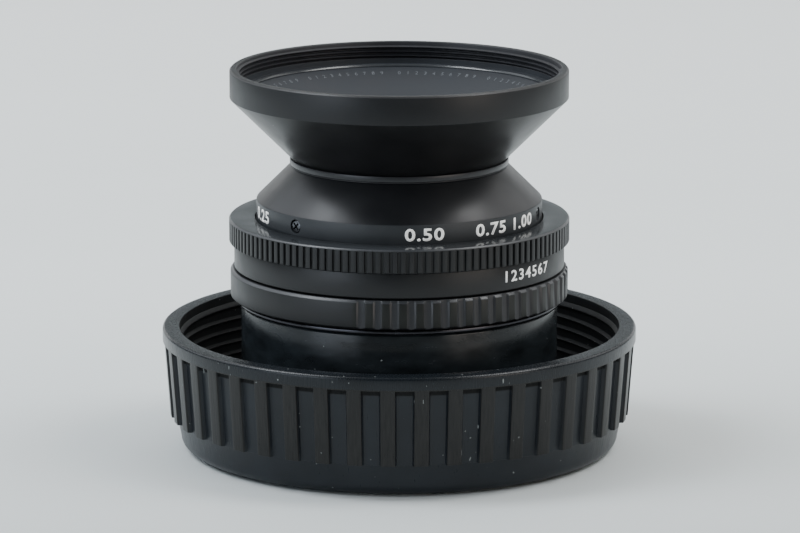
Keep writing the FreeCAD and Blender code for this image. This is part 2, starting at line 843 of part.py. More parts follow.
def main_barrel():
    body = turned("main_barrel", [
        (barrel_bore, barrel_bottom),
        (bearing_radius, barrel_bottom),
        (bearing_radius, index_bottom),
        (shoulder_radius, index_bottom),
        (shoulder_radius, shoulder_top),
        (collar_radius, shoulder_top),
        (collar_radius, collar_top),
        (iris_pocket, collar_top),
        (iris_pocket, carrier_bottom),
        (web_hole, carrier_bottom),
        (web_hole, web_bottom),
        (barrel_bore, web_bottom),
    ])
    link_strip_slot(body, "web_slot", web_bottom, carrier_bottom)
    half_slot = s.link_screw_radius + s.slot_play
    link_slot(body, "wall_slot", barrel_bore - s.overcut, bearing_radius + s.overcut,
              link_height - half_slot, link_height + half_slot)
    for side in (-1, 1):
        azimuth = s.mount_screw_azimuth + s.mount_screw_spread * side
        hole = bore(body, f"barrel_screw_hole_{side + 1}", mount_screw_circle, azimuth,
                    s.mount_screw_shank + s.fit, barrel_bottom,
                    mount_face + s.mount_screw_length + s.screw_tip_gap)
        repeat(body, hole, s.screws_per_ring)
    cell_hole = bore(body, "cell_screw_hole", cell_screw_circle, s.cell_screw_azimuth,
                     s.cell_screw_shank + s.fit,
                     collar_top - s.cell_screw_length, collar_top)
    repeat(body, cell_hole, s.screws_per_ring)
    ball_hole = radial_cylinder("ball_hole", s.click_ball_radius + s.fit, barrel_bore - s.overcut,
                                bearing_radius + s.overcut, s.click_azimuth, link_height)
    spring_hole = radial_cylinder("spring_screw_hole", s.click_screw_shank + s.fit,
                                  barrel_bore - s.overcut, bearing_radius - s.click_screw_skin,
                                  click_screw_azimuth, link_height)
    skirt_holes = []
    for index, azimuth in enumerate(skirt_screw_azimuths):
        tip = band_radius - s.skirt_screw_inset - s.skirt_screw_length
        skirt_holes.append(radial_cylinder(f"collar_screw_hole_{index}", s.skirt_screw_shank + s.fit,
                                           tip - s.head_play, band_radius, azimuth, skirt_screw_level))
    holes = together("barrel_radial_holes", [ball_hole, spring_hole, *skirt_holes])
    drilled = cut("main_barrel_drilled", body, holes)
    body.Label = "main_barrel_blank"
    drilled.Label = "main_barrel"
    return node(drilled)


def index_ring():
    body = turned("index_ring", [
        (shoulder_radius + s.fit, index_bottom),
        (index_ring_radius - s.grip_edge, index_bottom),
        (index_ring_radius, index_bottom + s.grip_edge),
        (index_ring_radius, index_top),
        (shoulder_radius + s.fit, index_top),
    ])
    return node(body)


def grip_ring():
    bottom = index_top + s.grip_edge
    top = shoulder_top + s.grip_flange
    hub = shoulder_radius + s.grip_hub
    body = turned("grip_ring", [
        (shoulder_radius + s.fit, index_top),
        (hub, index_top),
        (hub, bottom),
        (grip_radius - s.grip_edge, bottom),
        (grip_radius, bottom + s.grip_edge),
        (grip_radius, top - s.grip_top_chamfer),
        (grip_radius - s.grip_top_chamfer, top),
        (band_radius + s.skirt_gap, top),
        (band_radius + s.skirt_gap, shoulder_top),
        (shoulder_radius + s.fit, shoulder_top),
    ])
    flute = turn_about_axis(body, "Groove", "knurl_flute", [
        (grip_radius - s.knurl_depth, bottom - s.overcut),
        (grip_radius + s.overcut, bottom - s.overcut),
        (grip_radius + s.overcut, top - s.grip_plain_lip),
        (grip_radius - s.knurl_depth, top - s.grip_plain_lip),
    ], s.knurl_angle)
    repeat(body, flute, s.knurl_count)
    return node(body)


def skirt():
    inner_cone_bottom = collar_top + s.seat_gap
    roof = skirt_top - s.skirt_roof
    body = turned("skirt", [
        (collar_radius + s.running_fit, skirt_bottom),
        (band_radius, skirt_bottom),
        (band_radius, cone_start),
        (skirt_top_radius, skirt_top),
        (front_cell_radius + s.running_fit, skirt_top),
        (front_cell_radius + s.running_fit, roof),
        (skirt_top_radius - s.skirt_wall, roof),
        (collar_radius + s.running_fit, inner_cone_bottom),
    ])
    holes = []
    for index, azimuth in enumerate(skirt_screw_azimuths):
        holes.append(radial_cylinder(f"skirt_shank_hole_{index}", s.skirt_screw_shank + s.fit,
                                     band_radius - s.skirt_screw_length, band_radius + s.overcut,
                                     azimuth, skirt_screw_level))
        holes.append(radial_cylinder(f"skirt_head_hole_{index}", s.skirt_screw_head + s.head_play,
                                     band_radius - s.skirt_screw_inset - s.skirt_screw_head_depth,
                                     band_radius + s.overcut, azimuth, skirt_screw_level))
    body.Label = "skirt_blank"
    drilled = cut("skirt_drilled", body, together("skirt_holes", holes))
    drilled.Label = "skirt"
    return node(drilled)


def skirt_screws():
    screws = []
    for index, azimuth in enumerate(skirt_screw_azimuths):
        piece = screw(f"skirt_screw_{index}", s.skirt_screw_shank, s.skirt_screw_length, s.skirt_screw_head,
                      s.skirt_screw_head_depth, slots=2)
        x, y = polar(band_radius - s.skirt_screw_inset, azimuth)
        screws.append(placed(piece, x, y, skirt_screw_level, azimuth, tilt=90))
    return node(together("skirt_screws", screws))


def neck_ring():
    body = turned("neck_ring", [
        (front_cell_radius + s.running_fit, skirt_top),
        (neck_ring_radius, skirt_top),
        (neck_ring_radius, cone_bottom),
        (front_cell_radius + s.running_fit, cone_bottom),
    ])
    return node(body)


# Front cone, name ring and front optical group.


def front_cone():
    body = turned("front_cone", [
        (front_cell_radius + s.running_fit, cone_bottom),
        (neck_radius, cone_bottom),
        (filter_rim_radius, rim_bottom),
        (filter_rim_radius, rim_top - s.filter_rim_chamfer),
        (filter_rim_radius - s.filter_rim_chamfer, rim_top),
        (s.filter_thread_radius + s.filter_mouth_chamfer, rim_top),
        (s.filter_thread_radius, rim_top - s.filter_mouth_chamfer),
        (s.filter_thread_radius, thread_bottom),
        (dish_radius, name_ring_top),
        (dish_radius, name_ring_top - s.name_ring_edge - s.seat_gap),
        (front_cell_radius + s.running_fit, front_cell_top + s.name_ring_skirt),
    ])
    groove_root = s.filter_thread_radius + s.filter_thread_depth
    first = thread_bottom + s.filter_thread_pitch
    flank = (s.filter_thread_pitch - s.filter_thread_land) / 2
    entry = s.filter_thread_radius - s.filter_thread_entry
    helix(body, "SubtractiveHelix", "filter_thread", [
        (entry, first - flank),
        (entry, first + flank),
        (groove_root, first + s.filter_thread_root / 2),
        (groove_root, first - s.filter_thread_root / 2),
    ], s.filter_thread_pitch, s.filter_wall_depth)
    return node(body)


def name_ring():
    outer = dish_radius - s.name_ring_play
    body = turned("name_ring", [
        (outer, name_ring_top - s.name_ring_edge),
        (outer, name_ring_top),
        (name_ring_mouth, name_ring_floor),
        (name_ring_mouth, front_cell_top),
        (front_cell_radius, front_cell_top),
        (front_cell_radius, front_cell_top + s.name_ring_skirt + s.name_ring_gap),
    ])
    return node(body)


def front_cell():
    glass_bore = front_glass_radius + s.running_fit
    doublet_bore = front_doublet_radius + s.running_fit
    body = turned("front_cell", [
        (doublet_bore - s.cell_seat, collar_top),
        (front_cell_flange, collar_top),
        (front_cell_flange, flange_top),
        (front_cell_radius, flange_top),
        (front_cell_radius, front_cell_top),
        (glass_bore, front_cell_top),
        (glass_bore, doublet_top),
        (doublet_bore, doublet_top),
        (doublet_bore, doublet_seat),
        (doublet_bore - s.cell_seat, doublet_seat),
    ])
    hole = bore(body, "flange_screw_hole", cell_screw_circle, s.cell_screw_azimuth,
                s.cell_screw_shank + s.fit, collar_top, flange_top)
    repeat(body, hole, s.screws_per_ring)
    return node(body)


def cell_screws():
    screws = ring_of_screws(
        "cell_screw", cell_screw_circle, s.cell_screw_azimuth,
        flange_top + s.cell_screw_head_height, True,
        shank=s.cell_screw_shank, length=s.cell_screw_length, head=s.cell_screw_head,
        head_height=s.cell_screw_head_height, slots=1)
    return node(together("cell_screws", screws))


def ball_radius(clear, sag):
    """Radius of the ball whose cap has that rim radius and height."""
    return (clear * clear + sag * sag) / (sag * 2)


def bulge(name, clear, pole, sag, up):
    """A cap of a ball, from its flat at the lens's edge to its pole."""
    radius = ball_radius(clear, sag)
    cap = ball(name, radius)
    rise = (radius - sag) / radius
    bind(cap, "Angle1", Size(math.degrees(math.asin(rise.number)), f"asin({rise.formula})"))
    return placed(cap, z=pole - radius if up else pole + radius, tilt=0 if up else 180)


def lens_element(label, rim, bottom, edge, top_sag=0, bottom_sag=0, top_hollow=0, bottom_hollow=0):
    """A glass disc with ball faces inside a flat seat. A sag bulges outwards, a hollow goes inwards."""
    clear = rim - s.cell_seat
    top = bottom + edge
    disc = placed(cylinder(label + "_disc", rim, edge), z=bottom)
    solids = [disc]
    if number(top_sag):
        solids.append(bulge(label + "_top_cap", clear, top + top_sag, top_sag, True))
    if number(bottom_sag):
        solids.append(bulge(label + "_bottom_cap", clear, bottom - bottom_sag, bottom_sag, False))
    glass = fused(label + "_glass", solids) if len(solids) > 1 else disc
    if number(top_hollow):
        radius = ball_radius(clear, top_hollow)
        shaper = placed(ball(label + "_top_ball", radius), z=top - top_hollow + radius)
        glass = cut(label + "_top_face", glass, shaper)
    if number(bottom_hollow):
        radius = ball_radius(clear, bottom_hollow)
        shaper = placed(ball(label + "_bottom_ball", radius), z=bottom + bottom_hollow - radius)
        glass = cut(label + "_bottom_face", glass, shaper)
    glass.Label = label
    return node(glass)


def front_optics():
    lens_element("front_flint_lens", front_doublet_radius, doublet_seat, s.flint_edge,
                 top_hollow=s.flint_sag, bottom_hollow=s.flint_sag)
    lens_element("front_crown_lens", front_doublet_radius, doublet_seat + s.flint_edge, s.crown_edge,
                 top_sag=s.crown_sag, bottom_sag=s.flint_sag)
    lens_element("front_lens", front_glass_radius, front_glass_seat, s.front_glass_edge,
                 top_sag=s.front_glass_sag, bottom_hollow=s.front_glass_hollow)
    spacer_bore = front_doublet_radius - s.cell_seat + s.fit
    node(turned("front_spacer", [
        (spacer_bore, doublet_top),
        (front_glass_radius, doublet_top),
        (front_glass_radius, front_glass_seat),
        (spacer_bore, front_glass_seat),
    ]))
    retainer_bore = front_glass_radius - s.cell_seat + s.fit
    node(turned("front_retainer", [
        (retainer_bore, front_retainer_bottom),
        (front_glass_radius, front_retainer_bottom),
        (front_glass_radius, front_retainer_top),
        (retainer_bore + s.front_retainer_bevel, front_retainer_top),
    ]))


# Rear optical group, baffle and stop-down lever.


def rear_cell():
    doublet_bore = rear_doublet_radius + s.running_fit
    glass_bore = rear_glass_radius + s.running_fit
    return node(turned("rear_cell", [
        (doublet_bore - s.cell_seat, carrier_bottom - s.seat_gap),
        (web_hole - s.fit, carrier_bottom - s.seat_gap),
        (web_hole - s.fit, web_bottom),
        (rear_cell_flange, web_bottom),
        (rear_cell_flange, rear_flange_bottom),
        (rear_cell_radius, rear_flange_bottom),
        (rear_cell_radius, rear_cell_bottom),
        (glass_bore, rear_cell_bottom),
        (glass_bore, rear_doublet_bottom),
        (doublet_bore, rear_doublet_bottom),
        (doublet_bore, rear_doublet_top),
        (doublet_bore - s.cell_seat, rear_doublet_top),
    ]))


def rear_optics():
    lens_element("rear_flint_lens", rear_doublet_radius, rear_cement, s.rear_flint_edge,
                 top_hollow=s.rear_flint_hollow, bottom_hollow=s.rear_cement_sag)
    lens_element("rear_crown_lens", rear_doublet_radius, rear_doublet_bottom, s.rear_crown_edge,
                 top_sag=s.rear_cement_sag, bottom_sag=s.rear_crown_sag)
    lens_element("rear_lens", rear_glass_radius, rear_glass_bottom, s.rear_glass_edge,
                 bottom_sag=s.rear_glass_sag, top_hollow=s.rear_glass_hollow)
    spacer_bore = rear_doublet_radius - s.cell_seat + s.fit
    node(turned("rear_spacer", [
        (spacer_bore, rear_glass_top),
        (rear_glass_radius, rear_glass_top),
        (rear_glass_radius, rear_doublet_bottom),
        (spacer_bore, rear_doublet_bottom),
    ]))
    retainer_bore = rear_glass_radius - s.cell_seat + s.fit
    node(turned("rear_retainer", [
        (retainer_bore, rear_cell_bottom),
        (rear_glass_radius, rear_cell_bottom),
        (rear_glass_radius, rear_glass_bottom),
        (retainer_bore, rear_glass_bottom),
    ]))


def rear_baffle():
    top = baffle_bottom + s.baffle_thickness
    body = turned("rear_baffle", [
        (baffle_hole, baffle_bottom),
        (mount_tube_bore - s.fit, baffle_bottom),
        (mount_tube_bore - s.fit, top),
        (baffle_hole, top),
    ])
    half_slot = s.lever_prong_thickness / 2 + s.lever_slot_play
    angle = s.lever_travel + arc_angle(s.lever_prong_width, lever_prong_radius) + s.slot_margin
    turn_about_axis(body, "Groove", "lever_slot", [
        (lever_prong_radius - half_slot, baffle_bottom - s.overcut),
        (lever_prong_radius + half_slot, baffle_bottom - s.overcut),
        (lever_prong_radius + half_slot, top + s.overcut),
        (lever_prong_radius - half_slot, top + s.overcut),
    ], angle, s.lever_azimuth + s.lever_travel / 2)
    return node(body)


def stop_down_lever():
    """A ring that turns on the rear cell, with an arm and a prong that reaches out behind the mount."""
    inner = rear_cell_radius + s.running_fit
    outer = lever_prong_radius + s.lever_prong_thickness / 2
    disc = placed(cylinder("lever_disc", lever_ring_radius, s.lever_ring_height), z=lever_bottom)
    arm = radial_box("lever_arm", inner + s.weld, outer, s.lever_prong_width, lever_bottom, lever_top,
                     s.lever_azimuth)
    prong = radial_box("lever_prong", outer - s.lever_prong_thickness, outer, s.lever_prong_width,
                       mount_tube_end - s.lever_prong_end, lever_top, s.lever_azimuth)
    hole = cylinder("lever_bore", inner, s.lever_ring_height + s.overcut * 2)
    placed(hole, z=lever_bottom - s.overcut)
    lever = cut("lever_bored", fused("lever_blank", [disc, arm, prong]), hole)
    lever.Label = "stop_down_lever"
    return node(lever)


def lever_retainer():
    return node(turned("lever_retainer", [
        (rear_cell_radius + s.fit, lever_retainer_bottom),
        (lever_retainer_radius, lever_retainer_bottom),
        (lever_retainer_radius, lever_retainer_top),
        (rear_cell_radius + s.fit, lever_retainer_top),
    ]))


def lever_spring():
    """A few turns of wire round the rear cell, under the retainer, with an eight-sided section."""
    wire = s.lever_spring_wire
    middle = rear_cell_radius + wire + s.running_fit
    length = s.lever_spring_pitch * s.lever_spring_turns
    start = lever_retainer_bottom - s.seat_gap - wire - length
    section = []
    for corner in range(8):
        angle = math.radians(22.5 + 45 * corner)
        section.append((middle + wire * math.cos(angle), start + wire * math.sin(angle)))
    body = new_body("lever_spring")
    helix(body, "AdditiveHelix", "spring_wire", section, s.lever_spring_pitch, length)
    return node(body)


# Aperture ring, its click stop and the link to the iris.


def aperture_ring():
    bore_radius = bearing_radius + s.running_fit
    hub = bore_radius + s.aperture_ring_hub
    low = ring_bottom + s.aperture_ring_relief
    high = ring_top - s.aperture_ring_top_relief
    radius = aperture_ring_radius
    body = turned("aperture_ring", [
        (bore_radius, ring_bottom),
        (hub, ring_bottom),
        (hub, low),
        (radius - s.aperture_lower_chamfer, low),
        (radius, low + s.aperture_lower_chamfer),
        (radius, high - s.aperture_chamfer),
        (radius - s.aperture_chamfer, high),
        (hub, high),
        (hub, ring_top),
        (bore_radius, ring_top),
    ])
    flute = turn_about_axis(body, "Groove", "grip_flute", [
        (radius - s.flute_depth, low - s.overcut),
        (radius + s.overcut, low - s.overcut),
        (radius + s.overcut, high + s.overcut),
        (radius - s.flute_depth, high + s.overcut),
    ], s.flute_angle, s.first_flute)
    repeat(body, flute, s.flute_count, s.flute_pitch * (s.flute_count - 1))
    detent = turn_about_axis(body, "Groove", "click_detent", [
        (bore_radius - s.weld, link_height - s.click_ball_radius),
        (bore_radius + s.detent_depth, link_height - s.click_ball_radius),
        (bore_radius + s.detent_depth, link_height + s.click_ball_radius),
        (bore_radius - s.weld, link_height + s.click_ball_radius),
    ], s.detent_angle, s.click_azimuth - s.aperture_travel)
    repeat(body, detent, s.detent_count, s.aperture_travel)
    hole = radial_cylinder("link_screw_hole", s.link_screw_radius + s.fit, bore_radius - s.overcut,
                           radius + s.overcut, s.link_azimuth, link_height)
    body.Label = "aperture_ring_blank"
    drilled = cut("aperture_ring_drilled", body, hole)
    drilled.Label = "aperture_ring"
    return node(drilled)


def drive_link():
    half_foot = s.link_foot_height / 2
    foot_low = link_height - half_foot
    strip = radial_box("link_strip", link_radius, link_radius + s.link_thickness, s.link_width,
                       foot_low, drive_ring_bottom, s.link_azimuth)
    foot = radial_box("link_foot", link_radius, link_foot_reach, s.link_width, foot_low,
                      link_height + half_foot, s.link_azimuth)
    hole = radial_cylinder("link_foot_hole", s.link_screw_radius + s.fit, link_radius - s.overcut,
                           link_foot_reach + s.overcut, s.link_azimuth, link_height)
    link = cut("link_drilled", fused("link_blank", [strip, foot]), hole)
    link.Label = "drive_link"
    return node(link)


def link_screw():
    outer = aperture_ring_radius - s.link_screw_inset
    piece = radial_cylinder("link_screw_rod", s.link_screw_radius, link_radius + s.link_screw_tip, outer,
                            s.link_azimuth, link_height)
    slot = radial_box("link_screw_slot", outer - s.screw_slot_depth, outer + s.overcut, s.screw_slot,
                      link_height - s.link_screw_radius * 2, link_height + s.link_screw_radius * 2,
                      s.link_azimuth)
    rod = cut("link_screw_slotted", piece, slot)
    rod.Label = "link_screw"
    return node(rod)


def click_stop():
    ball_circle = bearing_radius + s.running_fit - s.click_ball_radius - s.click_gap
    x, y = polar(ball_circle, s.click_azimuth)
    sphere = placed(ball("click_ball", s.click_ball_radius), x, y, link_height)
    node(sphere)
    leaf_outer = ball_circle - s.click_ball_radius - s.click_gap
    leaf_inner = leaf_outer - s.click_spring_thickness
    half_height = s.click_spring_height / 2
    leaf = new_body("click_spring_blank")
    turn_about_axis(leaf, "Revolution", "leaf", [
        (leaf_inner, link_height - half_height),
        (leaf_outer, link_height - half_height),
        (leaf_outer, link_height + half_height),
        (leaf_inner, link_height + half_height),
    ], s.click_spring_angle, s.click_azimuth + s.click_spring_angle / 2 - s.click_spring_end)
    hole = radial_cylinder("leaf_hole", s.click_screw_shank + s.fit, leaf_inner - s.overcut,
                           leaf_outer + s.overcut, click_screw_azimuth, link_height)
    drilled = cut("click_spring_drilled", leaf, hole)
    drilled.Label = "click_spring"
    node(drilled)
    head_face = leaf_inner - s.seat_gap - s.click_screw_head_height
    tip = bearing_radius - s.click_screw_skin - s.head_play
    piece = screw("leaf_screw", s.click_screw_shank, tip - head_face, s.click_screw_head,
                  s.click_screw_head_height, slots=1)
    x, y = polar(head_face, click_screw_azimuth)
    placed(piece, x, y, link_height, click_screw_azimuth + 180, tilt=90)
    piece.Label = "click_screw"
    node(piece)


# Iris.


def iris_carrier():
    body = turned("iris_carrier", [
        (carrier_hole, carrier_bottom),
        (iris_pocket - s.running_fit, carrier_bottom),
        (iris_pocket - s.running_fit, carrier_top),
        (carrier_hole, carrier_top),
    ])
    link_strip_slot(body, "carrier_slot", carrier_bottom, carrier_top)
    hole = bore(body, "pivot_hole", pivot_circle, 0, s.pivot_pin_radius + s.pin_clearance,
                carrier_bottom, carrier_top)
    repeat(body, hole, s.blade_count)
    return node(body)


def iris_blade(index):
    """One blade, made with its pivot on +X, then turned to its own place."""
    layer = blades_bottom + s.blade_layer * index
    thick = s.blade_thickness
    outer = cylinder(f"blade_outer_{index}", blade_outer_radius, thick, s.blade_span)
    inner = cylinder(f"blade_inner_{index}", blade_inner_radius, thick + s.overcut * 2)
    placed(outer, z=layer, azimuth=s.blade_root_angle * -1)
    placed(inner, z=layer - s.overcut)
    strip = cut(f"blade_strip_{index}", outer, inner)
    root = cylinder(f"blade_root_{index}", s.blade_boss + s.blade_root, thick)
    placed(root, pivot_circle, 0, layer)
    arm_x, arm_y = polar(s.blade_arm, s.blade_arm_angle)
    tab_x = pivot_circle + arm_x
    tab = placed(cylinder(f"blade_tab_{index}", s.blade_boss, thick), tab_x, arm_y, layer)
    arm = box(f"blade_arm_{index}", s.blade_arm, s.blade_boss * 2, thick)
    side_x, side_y = polar(s.blade_boss, s.blade_arm_angle - 90)
    placed(arm, pivot_circle + side_x, side_y, layer, azimuth=s.blade_arm_angle)
    low = carrier_bottom + s.seat_gap
    pivot = cylinder(f"blade_pivot_{index}", s.pivot_pin_radius, layer + thick - low)
    placed(pivot, pivot_circle, 0, low)
    drive = cylinder(f"blade_drive_{index}", s.drive_pin_radius, drive_ring_top - layer - s.seat_gap)
    placed(drive, tab_x, arm_y, layer)
    blade = fused(f"iris_blade_{index + 1}", [strip, root, tab, arm, pivot, drive])
    placed(blade, azimuth=360 / s.blade_count * index)
    return node(blade)


def drive_pin_in_ring(share):
    """Where a blade's drive pin lies in the drive ring, at a share of the travel, for the blade on +X."""
    swing = number(s.blade_arm_angle) + number(s.blade_swing) * share
    x, y = polar(s.blade_arm, swing)
    point = FreeCAD.Vector(number(pivot_circle) + x, y, 0)
    return FreeCAD.Rotation(FreeCAD.Vector(0, 0, 1), -number(s.aperture_travel) * share).multVec(point)


def curved_slot(name, index):
    """The slot that one drive pin follows: an arc through the pin's places at the start, middle and end."""
    turn = FreeCAD.Rotation(FreeCAD.Vector(0, 0, 1), 360 / number(s.blade_count) * index)
    start, middle, end = [turn.multVec(drive_pin_in_ring(share)) for share in (0, 0.5, 1)]
    circle = Part.Arc(start, middle, end).toShape().Curve
    centre, radius = circle.Center, circle.Radius
    width = s.drive_pin_radius + s.pin_clearance
    first = math.degrees(math.atan2(end.y - centre.y, end.x - centre.x))
    last = math.degrees(math.atan2(start.y - centre.y, start.x - centre.x))
    height = s.drive_ring_thickness + s.overcut * 2
    low = drive_ring_bottom - s.overcut
    outer = cylinder(f"{name}_outer", radius + width, height, (last - first) % 360)
    placed(outer, centre.x, centre.y, low, azimuth=first)
    inner = placed(cylinder(f"{name}_inner", radius - width, height), centre.x, centre.y, low)
    ends = []
    for side, point in enumerate((start, end)):
        ends.append(placed(cylinder(f"{name}_end_{side}", width, height), point.x, point.y, low))
    return fused(name, [cut(f"{name}_arc", outer, inner), *ends])


def iris_drive_ring():
    body = turned("drive_ring_blank", [
        (drive_ring_bore, drive_ring_bottom),
        (drive_ring_radius, drive_ring_bottom),
        (drive_ring_radius, drive_ring_top),
        (drive_ring_bore, drive_ring_top),
    ])
    slots = [curved_slot(f"drive_slot_{index}", index) for index in range(SIZES["blade_count"])]
    ring = cut("iris_drive_ring", body, together("drive_slots", slots))
    return node(ring)


def iris_cover():
    return node(turned("iris_cover", [
        (iris_cover_bore, iris_cover_bottom),
        (iris_pocket - s.running_fit, iris_cover_bottom),
        (iris_pocket - s.running_fit, collar_top),
        (iris_cover_bore, collar_top),
    ]))


keeper_tray()
keeper_socket()
socket_screws()
bayonet_mount()
mount_screws()
main_barrel()
index_ring()
grip_ring()
skirt()
skirt_screws()
neck_ring()
front_cone()
name_ring()
front_cell()
cell_screws()
front_optics()
rear_cell()
rear_optics()
rear_baffle()
stop_down_lever()
lever_retainer()
lever_spring()
aperture_ring()
drive_link()
link_screw()
click_stop()
iris_carrier()
for blade_index in range(SIZES["blade_count"]):
    iris_blade(blade_index)
iris_drive_ring()
iris_cover()

doc.recompute()

for feature in doc.Objects:
    if "Invalid" in feature.State or "Error" in feature.State:
        raise RuntimeError(f"{feature.Label} did not recompute: {feature.State}")
for piece in NODES:
    if piece.Shape.isNull() or not piece.Shape.isValid() or not piece.Shape.Solids:
        raise RuntimeError(f"{piece.Label} has no valid solid")

os.makedirs("parts", exist_ok=True)
for piece in NODES:
    piece.Shape.exportStep(f"parts/{piece.Label}.step")
    print(f"{piece.Label}: {len(piece.Shape.Solids)} solids, {piece.Shape.Volume:.2f} mm3")
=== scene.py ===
# %% [markdown]
# # A macro lens head in its keeper tray
# The object is a short-mount macro lens head, the kind that stands on the front of a camera bellows. Here it
# is stored in its keeper: a ribbed plastic tray with a bayonet post in the middle. Almost every piece is
# turned on a lathe, so nearly all the modelling below is one idea used again and again: draw half of a
# section as a line, then spin it about the optical axis.
#
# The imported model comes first, because every piece that is made here has to sit exactly where it says.

# %% Load the frame
import bmesh
import bpy
import math
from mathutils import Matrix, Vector


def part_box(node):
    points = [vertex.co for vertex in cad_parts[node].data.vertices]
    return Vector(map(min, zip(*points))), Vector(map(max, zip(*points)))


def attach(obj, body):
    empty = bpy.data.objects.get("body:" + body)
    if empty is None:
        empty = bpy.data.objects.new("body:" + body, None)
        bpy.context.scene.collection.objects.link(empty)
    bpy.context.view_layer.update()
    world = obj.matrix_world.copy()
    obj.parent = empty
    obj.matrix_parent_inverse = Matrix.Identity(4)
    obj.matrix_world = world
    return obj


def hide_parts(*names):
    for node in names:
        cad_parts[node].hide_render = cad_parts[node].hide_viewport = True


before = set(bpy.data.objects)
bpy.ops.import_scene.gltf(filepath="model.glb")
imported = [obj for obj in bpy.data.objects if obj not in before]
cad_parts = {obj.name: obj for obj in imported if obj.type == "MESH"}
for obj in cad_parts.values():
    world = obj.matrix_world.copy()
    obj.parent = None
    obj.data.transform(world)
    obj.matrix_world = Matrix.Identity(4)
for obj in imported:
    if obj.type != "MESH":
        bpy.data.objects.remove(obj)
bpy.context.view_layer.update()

# %% [markdown]
# ## Units and small helpers
# Blender works in metres here, but lens makers think in millimetres, so the outlines below are written in
# millimetres and turned to metres in one place. Azimuths are measured as seen from above, from the front of
# the object (-Y) towards the right (+X), because that is how a photographer would point at a mark on a ring.

# %% Units
MM = 0.001
WELD = 0.002 * MM
FULL_TURN = 360.0
TURN_STEPS = 288
AXIS = (0, 0, 1)
ON_AXIS = (0, 0, 0)


def height_of(node, top=True):
    """Height in millimetres of a CAD node's top or bottom."""
    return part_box(node)[1 if top else 0].z / MM


def radius_of(node):
    """Largest radius in millimetres of a CAD node."""
    return max(Vector((v.co.x, v.co.y)).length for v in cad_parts[node].data.vertices) / MM


def deselect_all():
    """Leaves edit mode and deselects every object, so that an operator acts on new pieces alone."""
    if bpy.context.object and bpy.context.object.mode == "EDIT":
        bpy.ops.object.mode_set(mode="OBJECT")
    bpy.ops.object.select_all(action="DESELECT")


# %% [markdown]
# ## Drawing an outline and turning it
# A turned part is drawn the way a turner reads it: radius across, height up. We start from a tiny plane
# merged down to one vertex, then extrude that vertex from corner to corner. Spin sweeps the line round the
# axis. Headless Spin turns clockwise for a positive angle, so the helper flips the sign once, here.

# %% Outline, spin and weld
def pencil(name):
    """A new mesh in edit mode that holds one vertex on the origin, ready to draw with."""
    deselect_all()
    bpy.ops.mesh.primitive_plane_add(size=MM)
    piece = bpy.context.object
    piece.name = piece.data.name = name
    bpy.ops.object.mode_set(mode="EDIT")
    bpy.ops.mesh.merge(type="CENTER")
    return piece


def draw_outline(name, points, closed=True):
    """Draws (radius, height) corners in millimetres, in the plane through the axis and +X."""
    piece = pencil(name)
    corners = [Vector((r, 0, z)) * MM for r, z in points]
    if closed:
        corners.append(corners[0])
    bpy.ops.transform.translate(value=corners[0])
    for start, end in zip(corners, corners[1:]):
        bpy.ops.mesh.extrude_vertices_move(TRANSFORM_OT_translate={"value": end - start})
    bpy.ops.mesh.select_all(action="SELECT")
    bpy.ops.mesh.remove_doubles(threshold=WELD)
    return piece


def arc(centre_r, centre_z, radius, start, end, steps):
    """Points on a round corner of an outline, from one angle to another."""
    angles = [math.radians(start + (end - start) * i / steps) for i in range(steps + 1)]
    return [(centre_r + radius * math.cos(a), centre_z + radius * math.sin(a)) for a in angles]


def sweep(angle, steps, copies=False):
    """Spins the selection about the axis, anticlockwise seen from above."""
    bpy.ops.mesh.spin(steps=steps, angle=-math.radians(angle), center=ON_AXIS, axis=AXIS, dupli=copies)


def turn_piece(azimuth):
    """Turns everything in edit mode about the axis, anticlockwise. Headless rotate turns the other way."""
    bpy.ops.mesh.select_all(action="SELECT")
    bpy.ops.transform.rotate(value=-math.radians(azimuth), orient_axis="Z", center_override=ON_AXIS)


def weld_and_face_out():
    """Merges doubles, turns the faces outwards and leaves edit mode."""
    bpy.ops.mesh.select_all(action="SELECT")
    bpy.ops.mesh.remove_doubles(threshold=WELD)
    bpy.ops.mesh.normals_make_consistent(inside=False)
    bpy.ops.object.mode_set(mode="OBJECT")


SMOOTH_ANGLE = math.radians(32)


def soften(piece, width, segments=2):
    """Breaks the sharp edges as a machinist or a mould does, so that they catch a line of light."""
    if width:
        bevel = piece.modifiers.new("broken_edges", "BEVEL")
        bevel.width = width * MM
        bevel.segments = segments
        bevel.limit_method = "ANGLE"
        bevel.angle_limit = SMOOTH_ANGLE
        bpy.ops.object.modifier_apply(modifier=bevel.name)
    bpy.ops.object.shade_smooth_by_angle(angle=SMOOTH_ANGLE)
    return piece


def turned(name, points, edge):
    """A ring or cup turned from its outline, with its sharp edges broken by edge millimetres."""
    piece = draw_outline(name, points)
    bpy.ops.mesh.select_all(action="SELECT")
    sweep(FULL_TURN, TURN_STEPS)
    weld_and_face_out()
    return soften(piece, edge)


# %% [markdown]
# ## Fluted rings
# A grip ring is a plain ring with grooves cut down its outside. Cutting 132 grooves with booleans would
# leave a messy mesh, so only one pitch is modelled: sweep the section through the width of a side wall, step
# its outer corners in, sweep the groove's floor, and come out again the same way to the land. The side walls
# slant a little, as a cutter or a mould leaves them. That wedge is then copied round the axis and welded.

# %% Step a section in or out
STEP_TOLERANCE = 0.02 * MM


